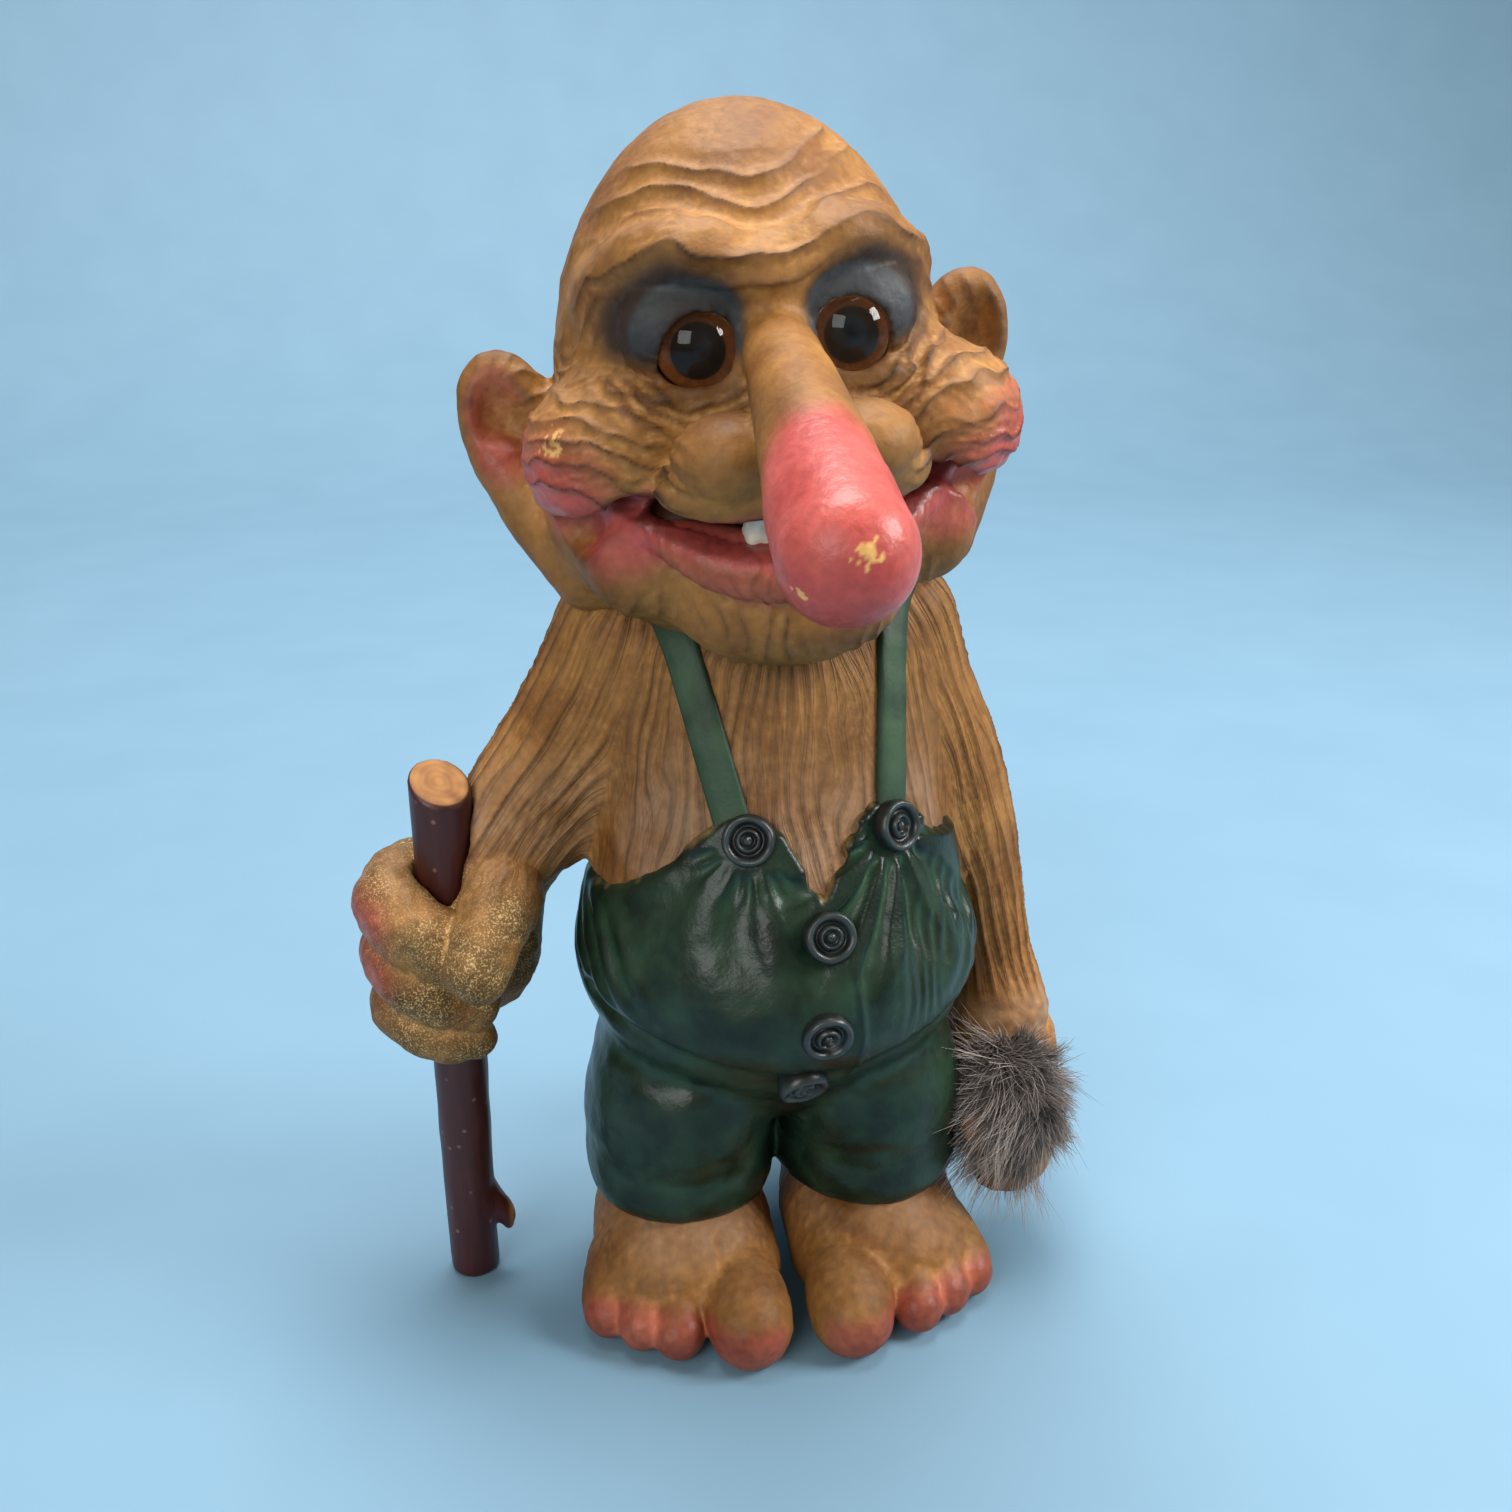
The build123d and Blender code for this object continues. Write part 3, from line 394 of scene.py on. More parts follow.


# %% [markdown]
# The skin is natural rubber, sprayed ochre and then wiped with a dark brown wash that stays in the grooves.
# The same dark mask also carries painted shade in broad hollows, in the mouth and under the chin, and a
# lighter ochre on ridges and the crown is a painted highlight. Rose is sprayed on the nose, cheeks, lips,
# ears, knuckles and toes, and grey round the eyes, with near-black painted shade under the brows. Rubber
# paint has an IOR near 1.5 and a soft sheen, and the rose paint has the most gloss.

# %% Painted rubber skin


def make_skin():
    """The material of every skin piece. It reads the masks by name, and a missing mask counts as 0."""
    material, tree, shader = new_material("painted_rubber_skin")
    names = ("wash_and_shade", "rose", "socket_shade", "slate", "ridge", "hair", "gold", "dust", "chip")
    masks = {name: read_mask(tree, name) for name in names}
    cloud_share = rescale(tree, blotches(tree, 14, 4.0), 0.35, 0.65)
    speck = blotches(tree, 1.6, 5.0)
    strand = add_node(tree, "ShaderNodeAttribute", attribute_name="strand").outputs["Vector"]
    comb = add_node(tree, "ShaderNodeMapping", {"Vector": strand, "Scale": (0.5, 0.5, 0.028)})
    lock = blotches(tree, 1000, 1.5, comb.outputs["Vector"])
    off_centre = arithmetic(tree, "ABSOLUTE", arithmetic(tree, "SUBTRACT", lock, 0.5))
    hair_line = arithmetic(tree, "MULTIPLY", rescale(tree, off_centre, 0.0, 0.055, 1.0, 0.0), masks["hair"])

    colour = mix_paint(tree, cloud_share, "#7a4d20", "#9c6c35")
    dusty = arithmetic(tree, "MULTIPLY", masks["dust"], cloud_share)
    colour = mix_paint(tree, dusty, colour, "#a5846a")
    colour = mix_paint(tree, masks["gold"], colour, mix_paint(tree, cloud_share, "#624524", "#826038"))
    # Painted highlight: a lighter ochre on raised forms and the crown, broken up by specks.
    wear_and_highlight = arithmetic(tree, "MULTIPLY", masks["ridge"], rescale(tree, speck, 0.3, 0.7))
    colour = mix_paint(tree, wear_and_highlight, colour, "#c99a5c")
    glint = rescale(tree, blotches(tree, 0.38, 2.0), 0.5, 0.7)
    colour = mix_paint(tree, arithmetic(tree, "MULTIPLY", masks["gold"], glint), colour, "#d6b67c")
    # Near-black painted shade under the brows and round the eye holes.
    colour = mix_paint(tree, masks["socket_shade"], colour, "#2a201b")
    colour = mix_paint(tree, masks["slate"], colour, mix_paint(tree, cloud_share, "#2b2c2c", "#45484a"))
    colour = mix_paint(tree, masks["rose"], colour, mix_paint(tree, cloud_share, "#a6423b", "#bd5a52"))
    colour = mix_paint(tree, masks["chip"], colour, "#d8a562")
    # Dark brown wash in the grooves, which also carries painted shade in hollows, the mouth and under the
    # chin; it is darker red where rose lies.
    dark = arithmetic(tree, "MAXIMUM", masks["wash_and_shade"], arithmetic(tree, "MULTIPLY", hair_line, 0.08))
    colour = mix_paint(tree, dark, colour, mix_paint(tree, masks["rose"], "#2b170a", "#4a1512"))
    colour = mix_paint(tree, 1.0, colour, rescale(tree, speck, 0.0, 1.0, 0.7, 1.3), "MULTIPLY")

    fine = bumps(tree, speck, 0.45, 0.45)
    coat = {
        "Base Color": colour,
        "Roughness": rescale(tree, masks["rose"], 0.0, 1.0, 0.58, 0.36),
        "Metallic": arithmetic(tree, "MULTIPLY", masks["gold"], 0.35),
        "IOR": 1.5,
        "Specular IOR Level": 0.28,
        "Normal": bumps(tree, hair_line, 0.4, 0.5, under=fine, invert=True),
    }
    set_inputs(tree, shader, coat)
    return material


skin = make_skin()
print("skin nodes:", len(skin.node_tree.nodes))

# %% [markdown]
# The head is one thick-walled casting from a carved model. It is built here as a carver would: a tall
# bald skull, a wide lower face, then cheeks, brows, lids, nose, lips and ears melted on, and the eye
# holes, mouth and smile crease cut in. All sizes are in the head's own frame, which leans 5 degrees to
# the figure's right.

# %% Head: the large forms
HEAD_PLACE = np.array([-4.0, 0.0, 190.0])
HEAD_LEAN = math.radians(5.0)
HEAD_AXES = np.array(
    [
        [math.cos(HEAD_LEAN), 0.0, math.sin(HEAD_LEAN)],
        [0.0, 1.0, 0.0],
        [-math.sin(HEAD_LEAN), 0.0, math.cos(HEAD_LEAN)],
    ]
)
EYE_SPACING = 26.0
EYE_RISE = 11.0
EYE_SEAT = -31.5
EYE_RADIUS = 7.2
EYE_DOME = 5.5
EYE_CURVE = (EYE_RADIUS**2 + EYE_DOME**2) / (2 * EYE_DOME)
SIDES = (-1, 1)
NAMED_SIDES = ((-1, "right"), (1, "left"))


def from_head(points):
    """Points in the head's own frame, moved to where the head is."""
    return HEAD_PLACE + np.asarray(points, float) @ HEAD_AXES


head_clay = Clay((-64, -104, -54), (64, 44, 56), 0.55)
head_clay.add(Egg((0, 1, 0), (36, 37.5, 50)))
head_clay.add(Egg((0, -2, -20), (42, 37, 25)), 10)
head_clay.add(Egg((0, -29, -36), (19, 13, 10)), 8)
for side in SIDES:
    head_clay.add(Egg((28.5 * side + 1, -19, -7), (16.5, 17, 14)), 6)
    brow = [(4 * side, -33, 21), (13 * side, -31.5, 25.5), (21 * side, -26, 25), (28 * side, -16, 20)]
    head_clay.add(Limb(brow, [4.2, 5, 4.2, 2.2]), 8)
head_clay.add(Egg((-44.8, 4, -4), (9.6, 6, 15), -14), 4)
head_clay.cut(Egg((-46.2, -3.5, -3.5), (6, 7, 11), -14), 2)
head_clay.add(Limb([(-47.3, 2, -10), (-43.5, -1, -20), (-35, -5, -32)], [4.8, 5.2, 6]), 4)
head_clay.add(Egg((43.5, 8, 3), (9.5, 6, 14), 12), 4)
head_clay.cut(Egg((45, 0.5, 3.5), (6, 7, 10), 12), 2)
head_clay.add(Limb([(45, 5, -6), (42.5, 0, -19), (35, -5, -32)], [4.8, 5.4, 6]), 4)
print("skull, jaw, cheeks, brows and ears joined")

# %% Head: eyes, nose and mouth
for side in SIDES:
    eye_x = side * EYE_SPACING / 2
    head_clay.cut(Egg((14.5 * side, -43.5, 12), (15.5, 11, 13.5)), 4)
    head_clay.add(Egg((14.0 * side, -27.3, 14.2), (11.8, 8.0, 9.6), 6 * side), 0.8)
    head_clay.add(Egg((13.5 * side, -30.3, 3.2), (9.5, 3.8, 2.4)), 2.0)
    head_clay.cut(Egg((eye_x, EYE_SEAT + EYE_CURVE - EYE_DOME, EYE_RISE), [EYE_CURVE + 0.06] * 3), 0.5)
nose_path = [(0, -34, 9.5), (-0.2, -41, 7.5), (-0.6, -53, 3)]
nose_path += [(-1.1, -66, -3), (-1.7, -79, -9), (-2.0, -88.5, -13)]
head_clay.add(Limb(nose_path, [6.2, 6.6, 7.5, 8.6, 9.8, 10.3], 14), 2.5)
for side in SIDES:
    head_clay.add(Egg((11 * side, -44, -6), (9.5, 9.5, 7.5)), 2.5)
    head_clay.add(Egg((10 * side, -40, -13), (14, 8.5, 5.6), -14 * side), 2.2)
mouth_path = [(-30, -28, -12.5), (-15, -41, -17.5), (0, -45, -19.5), (15, -41, -17.5), (30, -28, -12.5)]
MOUTH_GIRTH = [1.6, 3.6, 4.0, 3.6, 1.6]
head_clay.cut(Limb(mouth_path, MOUTH_GIRTH), 1.2)
inner_path = [(-21, -31, -16.5), (0, -36, -19.5), (21, -31, -16.5)]
INNER_GIRTH = [3.2, 5, 3.2]
head_clay.cut(Limb(inner_path, INNER_GIRTH), 1.2)
gum_path = [(-19, -33, -19.6), (0, -37.5, -23), (19, -33, -19.6)]
GUM_GIRTH = [2.4, 3.2, 2.4]
head_clay.add(Limb(gum_path, GUM_GIRTH), 0.6)
lip_path = [(-25, -31, -18), (-14, -39, -24.5), (0, -42, -27), (14, -39, -24.5), (25, -31, -18)]
LIP_GIRTH = [2.2, 4.2, 4.6, 4.2, 2.2]
head_clay.add(Limb(lip_path, LIP_GIRTH), 1.4)
for side in SIDES:
    head_clay.add(Egg((29.5 * side, -24, -27), (5, 5.5, 7.5), 20 * side), 7)
    fold_path = [(18, -43, -7), (25, -37, -12), (32, -29, -16.5), (38, -20, -19)]
    head_clay.cut(Limb([(x * side, y, z) for x, y, z in fold_path], [1.2, 1.8, 2.4, 2.6]), 1.6)
    head_clay.cut(Egg((36 * side, -24, -19.5), (4.5, 6, 4), 30 * side), 2)
head_points, head_faces = head_clay.surface(2)
print("head has", len(head_faces), "faces before carving")

# %% [markdown]
# The carver's knife lines come next: wavy furrows on the forehead, crow's feet that sag over the cheeks
# and small folds round the eyes. Each set is a row of ridges with sharp valleys, drawn as height over
# distance from a bent line, so the lines of one set never cross. The dark wash then goes where the
# surface is hollow, together with painted shade in broad hollows, the mouth and under the jaw; raised
# forms and the crown get a painted highlight, and a near-black painted shade lies under the brows.

# %% Head: furrows and paint masks


def ridges(position, spacing):
    """1 on the round back of each ridge and 0 in the sharp valley between two ridges."""
    return np.abs(np.sin(np.pi * position / spacing)) ** 0.75


def bell(value, middle, width):
    """1 at the middle and close to 0 beyond the width."""
    return np.exp(-(((value - middle) / width) ** 2))


def hollows(points, faces, rounds):
    """How far each point lies below the surface around it, in millimetres."""
    normals = point_normals(points, faces)
    return np.einsum("ij,ij->i", relax(points, faces, rounds) - points, normals)


x, y, z = head_points.T
across = np.abs(x)
sway = grain(head_points, 13, 1)
wobble = grain(head_points, 5, 9)
patch = fade(grain(head_points, (16, 16, 7), 12), -0.45, 0.25)
arch = np.where(x > 0, 6.5, 3.0) * bell(across, 17, 9) - 0.10 * np.maximum(across - 22, 0)
forehead = band(z - arch, 17, 22, 35, 42) * fade(-y, 3, 16) * (1 - fade(across, 22, 33))
carve = 1.1 * forehead * (0.4 + 0.6 * patch) * (ridges(z - arch + 2.6 * sway + 0.9 * wobble, 4.6) - 1)
carve += 0.35 * forehead * (ridges(z - arch + 2.0 * wobble, 1.9) - 1) * grain(head_points, 9, 13)
sag = -8.0 * (1 - fade(across, 14, 34)) + 1.5 * fade(across, 34, 46)
crow = band(across, 16, 22, 41, 46) * band(z, -17, -12, 6, 13) * fade(-y, -8, 4)
broken = fade(grain(head_points, (11, 11, 3.5), 14), -0.5, 0.2)
carve += 0.95 * crow * (0.3 + 0.7 * broken) * (ridges(z - sag + 4.2 * sway + 1.6 * wobble, 3.9) - 1)
carve += 0.45 * crow * (ridges(z - sag + 3.0 * wobble + 0.35 * across, 2.1) - 1) * (1 - 0.7 * broken)
eye_gap = np.hypot((across - EYE_SPACING / 2) / 1.15, z - EYE_RISE)
bags = band(eye_gap, 8.2, 9.5, 15, 19) * (1 - fade(z, 3, 9)) * band(-y, 18, 25, 40, 44)
carve += 0.8 * bags * (ridges(eye_gap + 2.0 * sway + 1.0 * wobble, 2.9) - 1)
temple = fade(across, 25, 30) * band(z, 6, 12, 26, 36) * fade(-y, -12, 4)
carve += 0.7 * temple * patch * (ridges(across + 0.55 * z + 3 * sway, 3.2) - 1)
chin = fade(-z, 27, 31) * fade(-y, 8, 18)
chin_patch = fade(grain(head_points, 8, 15), -0.3, 0.4)
carve += 0.5 * chin * (ridges(x + 3 * sway + 1.2 * wobble, 3.6) - 1) * chin_patch
lips = 1 - fade(Limb(lip_path, LIP_GIRTH).distance(x, y, z), 0.5, 2)
carve += 0.25 * lips * (ridges(x + 2.5 * wobble + 2 * sway, 2.6) - 1) * patch
carve += 0.12 * grain(head_points, 2.2, 2) + 0.22 * grain(head_points, 6.0, 3)
nose_tip = fade(-y, 50, 60)
carve *= 1 - nose_tip
carve += nose_tip * (0.25 * grain(head_points, 9, 16) + 0.06 * grain(head_points, 2, 17))
head_points = head_points + carve[:, None] * point_normals(head_points, head_faces)

hollow = hollows(head_points, head_faces, 10)
broad = hollows(head_points, head_faces, 60)
x, y, z = head_points.T
across = np.abs(x)
# Dark wash in the grooves, with painted shade in broad hollows.
wash_and_shade = np.clip(1.25 * hollow - 0.06, 0, 1) + np.clip(0.4 * broad, 0, 0.5)
# Painted highlight on raised forms, and a slightly lighter crown.
ridge = np.clip(-2.8 * hollow, 0, 1) + 0.06 * fade(z, 38, 48)
lid = np.hypot((across - 14) / 10.8, (z - 13.2) / 9.4)
slate = (1 - fade(lid, 0.86, 1.0)) * fade(across, 4.5, 6.5) * fade(z, 7, 11) * band(-y, 22, 27, 35.5, 38)
# Near-black painted shade under the brows above the lids, and a fainter band of it below each eye hole.
socket_shade = (1 - fade(lid + 0.12 * sway, 1.05, 1.6)) * fade(z + 0.2 * across, 10, 17)
socket_shade *= band(-y, 10, 20, 34.5, 37.5) * fade(across, 2.5, 7.5)
socket_shade += 0.3 * bell(eye_gap, 8.5, 3) * (1 - fade(z, 4, 10)) * fade(-y, 20, 26)
rose = nose_tip * fade(-y + 0.35 * z + 2.2 * grain(head_points, 6, 5), 67, 76)
cheek = np.sqrt(((across - 37) / 14) ** 2 + ((y + 22) / 17) ** 2 + ((z + 10.5) / 11.5) ** 2)
rose += 0.95 * (1 - fade(cheek + 0.2 * wobble, 0.45, 1.25))
fold = np.sqrt(((across - 29) / 10) ** 2 + ((y + 28) / 9) ** 2 + ((z + 20) / 7.5) ** 2)
rose += 0.8 * (1 - fade(fold, 0.5, 1.3))
lip_line = Limb(lip_path, LIP_GIRTH).distance(x, y, z)
rose += 0.6 * (1 - fade(lip_line, 0.4, 2.0))
mouth_line = Limb(mouth_path, MOUTH_GIRTH).distance(x, y, z)
rose += 0.5 * (1 - fade(mouth_line, 0.8, 3.0)) * (1 - nose_tip)
on_gum = 1 - fade(Limb(gum_path, GUM_GIRTH).distance(x, y, z), 0.3, 0.9)
# Painted shade in the mouth opening and along the mouth line, but not on the gum.
wash_and_shade += 0.95 * (1 - fade(Limb(inner_path, INNER_GIRTH).distance(x, y, z), 0.3, 1.2))
wash_and_shade += 0.45 * (1 - fade(mouth_line, 0.2, 1.6)) * (1 - nose_tip)
wash_and_shade = wash_and_shade * (1 - 0.8 * on_gum)
rose = np.maximum(rose, 0.9 * on_gum)
# Painted shade under the jaw, darker towards the figure's right temple, and random darker patches.
wash_and_shade += 0.18 * fade(-z, 26, 34) + 0.12 * fade(-x, 20, 34) * fade(z, 5, 18) + 0.08 * np.clip(sway, 0, 1)
chip = np.zeros(len(x))
for spot, reach in (((-1.2, -98.3, -11), 2.0), ((-10, -94.3, -16.7), 1.2), ((-37.5, -30, -2.7), 2.6)):
    spot_gap = np.linalg.norm(head_points - spot, axis=1)
    chip += fade((1 - spot_gap / reach) + 1.3 * grain(head_points, 0.9, 6), 0.3, 0.45)
ear = np.sqrt(((across - 48.5) / 8) ** 2 + ((y + 4) / 8) ** 2 + ((z + 1) / 14) ** 2)
rose += 0.7 * (1 - fade(ear, 0.6, 1.1))
rose *= 1 - 0.35 * np.clip(grain(head_points, 5, 4), 0, 1) * (1 - nose_tip)
head_masks = {
    "wash_and_shade": np.clip(wash_and_shade * (1 - 0.9 * nose_tip), 0, 0.92),
    "rose": np.clip(rose, 0, 1),
    "socket_shade": np.clip(socket_shade, 0, 0.95),
    "slate": np.clip(slate, 0, 1),
    "chip": np.clip(chip, 0, 1),
    "ridge": np.clip(ridge, 0, 1),
}
add_piece("head_skin", from_head(head_points), head_faces, skin, "figure", head_masks, ["head"])
print("deepest groove:", round(float(hollow.max()), 2), "mm")

# %% [markdown]
# Chest, arms and hands are sculpted as one mass, so the shoulders flow, and then parted where each
# casting meets the next. The trunk is a stack of oval sections. The right hand is a fist of three fingers
# round the stick with the thumb laid over them, and the left hand closes on the tail.

# %% Chest and arms: the large forms


class Column:
    """Level oval sections joined by a smooth skin. Each row is height, x, y, width and depth."""

    def __init__(self, rows, grow=0.0):
        self.run = smooth_run(rows, 12)
        self.run[:, 3:] = self.run[:, 3:] / 2 + grow
        reach = self.run[:, 3:]
        self.low = np.append((self.run[:, 1:3] - reach).min(0), self.run[0, 0])
        self.high = np.append((self.run[:, 1:3] + reach).max(0), self.run[-1, 0])

    def section(self, z):
        """Middle x and y, and half width and depth, at these heights."""
        return [np.interp(z, self.run[:, 0], self.run[:, i]) for i in (1, 2, 3, 4)]

    def distance(self, x, y, z):
        """How far points lie from the surface. It is less than zero inside."""
        middle_x, middle_y, wide, deep = self.section(z)
        px, py = (x - middle_x) / wide, (y - middle_y) / deep
        near = np.sqrt(px**2 + py**2)
        slope = np.sqrt((px / wide) ** 2 + (py / deep) ** 2)
        wall = near * (near - 1.0) / np.maximum(slope, 1e-6)
        return np.maximum(wall, np.maximum(self.run[0, 0] - z, z - self.run[-1, 0]))


TRUNK_ROWS = [
    (42, 0, -1, 44, 34),
    (52, 0, -1, 62, 52),
    (78, 0, -6, 77, 71),
    (112, 0, -4, 66, 54),
    (138, 0, -2, 58, 44),
    (160, 0, 0, 34, 32),
]
STICK_AXIS = (-66.5, -3.0)
STICK_TAPER = (5.1, 6.1)
STICK_TOP = 115.0
STICK_LINE = [(*STICK_AXIS, 0), (*STICK_AXIS, 127.2)]
STICK_CLEARANCE = 0.45
trunk_form = Column(TRUNK_ROWS)
right_arm = Limb(
    [(-28, 3, 142), (-33, 4, 130), (-40, 5, 118), (-49, 4, 106), (-57, 2, 95), (-62, 1, 86)],
    [14.5, 14.5, 14.2, 13.4, 12.5, 12],
)
left_arm = Limb(
    [(25, 3, 142), (30, 4, 128), (38, 5.5, 112), (43.5, 6, 97), (47.5, 6, 82), (50.5, 4, 66), (53, 1, 54)],
    [13.5, 13, 12, 11, 9.8, 9.2, 10],
)
body_clay = Clay((-94, -42, 12), (72, 38, 163), 0.5)
body_clay.add(trunk_form)
body_clay.add(right_arm, 9)
body_clay.add(left_arm, 9)


def round_stick(turn, height, gap):
    """A point beside the stick's axis, at an angle from the figure's left, seen from above."""
    angle = math.radians(turn)
    return (STICK_AXIS[0] + gap * math.cos(angle), STICK_AXIS[1] + gap * math.sin(angle), height)


FINGER_TURNS = (95, 135, 180, 225, 262, 290)
FINGER_LEVELS = (
    (92, 92, 90.5, 88, 84, 81),
    (80, 80, 79, 76.5, 73, 70.5),
    (69, 69, 68, 66.5, 64.5, 63.5),
)
body_clay.add(Egg((-61, 2, 79), (13, 14, 17)), 5)
for levels, thick in zip(FINGER_LEVELS, (7.5, 6.9, 5.9)):
    finger = [round_stick(turn, level, 10.8) for turn, level in zip(FINGER_TURNS, levels)]
    body_clay.add(Limb(finger, [thick - 0.6, thick, thick + 0.5, thick + 0.2, thick - 0.2, thick - 1.2]), 0.5)
thumb = [(-56.5, 3, 90), (-55.5, -6, 92.5), (-56.5, -14, 91.5), (-59, -20, 87.5), (-61, -23, 83)]
body_clay.add(Limb(thumb, [8, 8.4, 7.8, 7.0, 6.4]), 0.6)
stick_hole = Limb(STICK_LINE, [r + STICK_CLEARANCE for r in STICK_TAPER], 1)
body_clay.cut(stick_hole, 0.8)
body_clay.add(Egg((51.8, -1, 43), (11.2, 10.5, 20)), 5)
curled = [(61.5, -2, 34), (60, -9, 24), (53, -14.5, 20), (46, -16, 23.5), (44.8, -15, 33), (45.5, -12, 43)]
body_clay.add(Limb(curled, [4.5, 5.2, 5.4, 5.0, 4.6, 4.0]), 1.5)
body_points, body_faces = body_clay.surface(2)
print("chest, arms and hands have", len(body_faces), "faces")

# %% [markdown]
# Long hair is suggested by grooves cut along each limb. They are waves round the limb, swayed by noise
# that is stretched along its own line, so they bend with the arm and hang straight down on the chest. The
# deep grooves are cut into the mesh, and coordinates that follow them are kept on the points for finer
# grooves in the material.

# %% Chest and arms: hair grooves and paint masks


def along_limb(points, limb):
    """Coordinates that follow a limb: two across it and one along it, in millimetres."""
    line = limb.points
    tangents = unit_rows(np.gradient(line, axis=0))
    run = np.append(0, np.cumsum(np.linalg.norm(np.diff(line, axis=0), axis=1)))
    nearest = np.argmin(((points[:, None, :] - line[None]) ** 2).sum(2), axis=1)
    away = points - line[nearest]
    tangent = tangents[nearest]
    side = unit_rows(np.cross(tangent, (0.0, 1.0, 0.0)))
    ahead = np.einsum("ij,ij->i", away, tangent)
    return np.column_stack(
        [
            np.einsum("ij,ij->i", away, side),
            np.einsum("ij,ij->i", away, np.cross(tangent, side)),
            run[nearest] + ahead,
        ]
    )


def grooves(strand, across, length, seed):
    """1 in the middle of a groove and 0 between grooves, along stretched coordinates."""
    return 1 - np.clip(np.abs(grain(strand, (across, across, length), seed)) / 0.25, 0, 1)


def combed(strand, locks, girth, seed):
    """Hair combed along a form: each point's place round and along it, and its depth between two locks."""
    around = np.arctan2(strand[:, 0], strand[:, 1])
    sway = 0.16 * grain(strand, (11, 11, 30), seed) + 0.06 * grain(strand, (5, 5, 14), seed + 1)
    strength = fade(grain(strand, (7, 7, 20), seed + 2), -0.5, 0.3)
    valley = 1 - np.abs(np.sin((around + sway) * locks / 2)) ** 0.7
    fine = 1 - np.abs(np.sin((around - 1.5 * sway) * locks * 1.25)) ** 0.7
    line = np.column_stack([(around + sway) * girth, 0 * around, strand[:, 2]])
    return line, np.clip(valley * (0.35 + 0.65 * strength) + 0.35 * fine * (1 - strength), 0, 1)


x, y, z = body_points.T
trunk_gap = trunk_form.distance(x, y, z)
right_gap = right_arm.distance(x, y, z)
left_gap = left_arm.distance(x, y, z)
on_arm = fade(trunk_gap - np.minimum(right_gap, left_gap), -5, 5)
arm_place = np.where((x < 0)[:, None], along_limb(body_points, right_arm), along_limb(body_points, left_arm))
arm_strand, arm_valley = combed(arm_place, 22, 12.0, 6)
trunk_strand, trunk_valley = combed(np.column_stack([x, -y - 3, -z]), 54, 30.0, 7)
groove = on_arm * arm_valley + (1 - on_arm) * trunk_valley
is_hand = np.maximum((x < -40) * (1 - fade(z + 0.25 * (x + 66), 97, 104)), (x > 30) * (1 - fade(z, 56, 64)))
hair = 1 - is_hand
relief = -(0.5 + 0.35 * on_arm) * groove * hair + 0.12 * grain(body_points, 3, 8)
relief += is_hand * (0.6 * grain(body_points, 6, 9) + 0.3 * grain(body_points, 2.4, 10))
body_points = body_points + relief[:, None] * point_normals(body_points, body_faces)
body_normals = point_normals(body_points, body_faces)
hollow = hollows(body_points, body_faces, 10)
broad = hollows(body_points, body_faces, 60)
knuckles = bell(z, 90, 5) + bell(z, 78, 5)
# Dark wash in the grooves, with painted shade in broad hollows and hair valleys, and the trunk a little
# darker overall.
body_wash_and_shade = (0.7 + 0.3 * on_arm) * hollow + 0.45 * broad + 0.1 * groove * hair + 0.28 * (1 - on_arm)
body_masks = {
    "wash_and_shade": np.clip(body_wash_and_shade, 0, 0.88),
    # Painted highlight on raised forms, stronger on the hands.
    "ridge": np.clip(-2.4 * hollow, 0, 1) * (0.75 + 0.25 * is_hand),
    "rose": np.clip(knuckles * fade(-x, 75, 82), 0, 1) * 0.75,
    "hair": hair,
    "gold": is_hand * (x < 0) * (0.35 + 0.65 * fade(grain(body_points, 9, 19), -0.4, 0.2)),
    "dust": np.clip(bell(z, 108, 14) * (1 - on_arm) * fade(-y, 8, 20), 0, 1) * 0.95
    + 0.6 * bell(z, 108, 10) * on_arm * (x < -30)
    + 0.6 * is_hand * (x > 0),
}
strand = np.where((on_arm > 0.5)[:, None], arm_strand, trunk_strand)
face_middle = body_points[body_faces].mean(1)
face_gaps = [form.distance(*face_middle.T) for form in (trunk_form, right_arm, left_arm)]
which_arm = np.where(face_middle[:, 0] < 0, 1, 2)
face_across = np.abs(face_middle[:, 0])
owner = np.where(face_gaps[0] < np.minimum(face_gaps[1], face_gaps[2]), 0, which_arm)
owner = np.where((face_middle[:, 2] < 84) & (face_across < 39), 0, owner)
owner = np.where(face_across > 44, which_arm, owner)
for index, name in enumerate(("trunk", "right_arm", "left_arm")):
    faces = body_faces[owner == index]
    if index == 0:
        faces = faces[(body_points[faces][:, :, 2] > 80).all(1)]
    used, local = np.unique(faces, return_inverse=True)
    masks = {mask: values[used] for mask, values in body_masks.items()}
    piece = add_piece(
        f"{name}_skin", body_points[used], local.reshape(faces.shape), skin, "figure", masks, [name]
    )
    keep_strand(piece, strand[used])
    piece.data.normals_split_custom_set_from_vertices(body_normals[used].tolist())

# %% [markdown]
# The dungarees belong to the same moulding and only look like cloth: a layer a little proud of the trunk,
# with a bib cut to two points, thick round legs and rolled cuffs. The belly hangs over the legs, so the
# two meet in a deep crease. A cloth simulation would hang too freely for a moulded form, so the folds are
# carved.

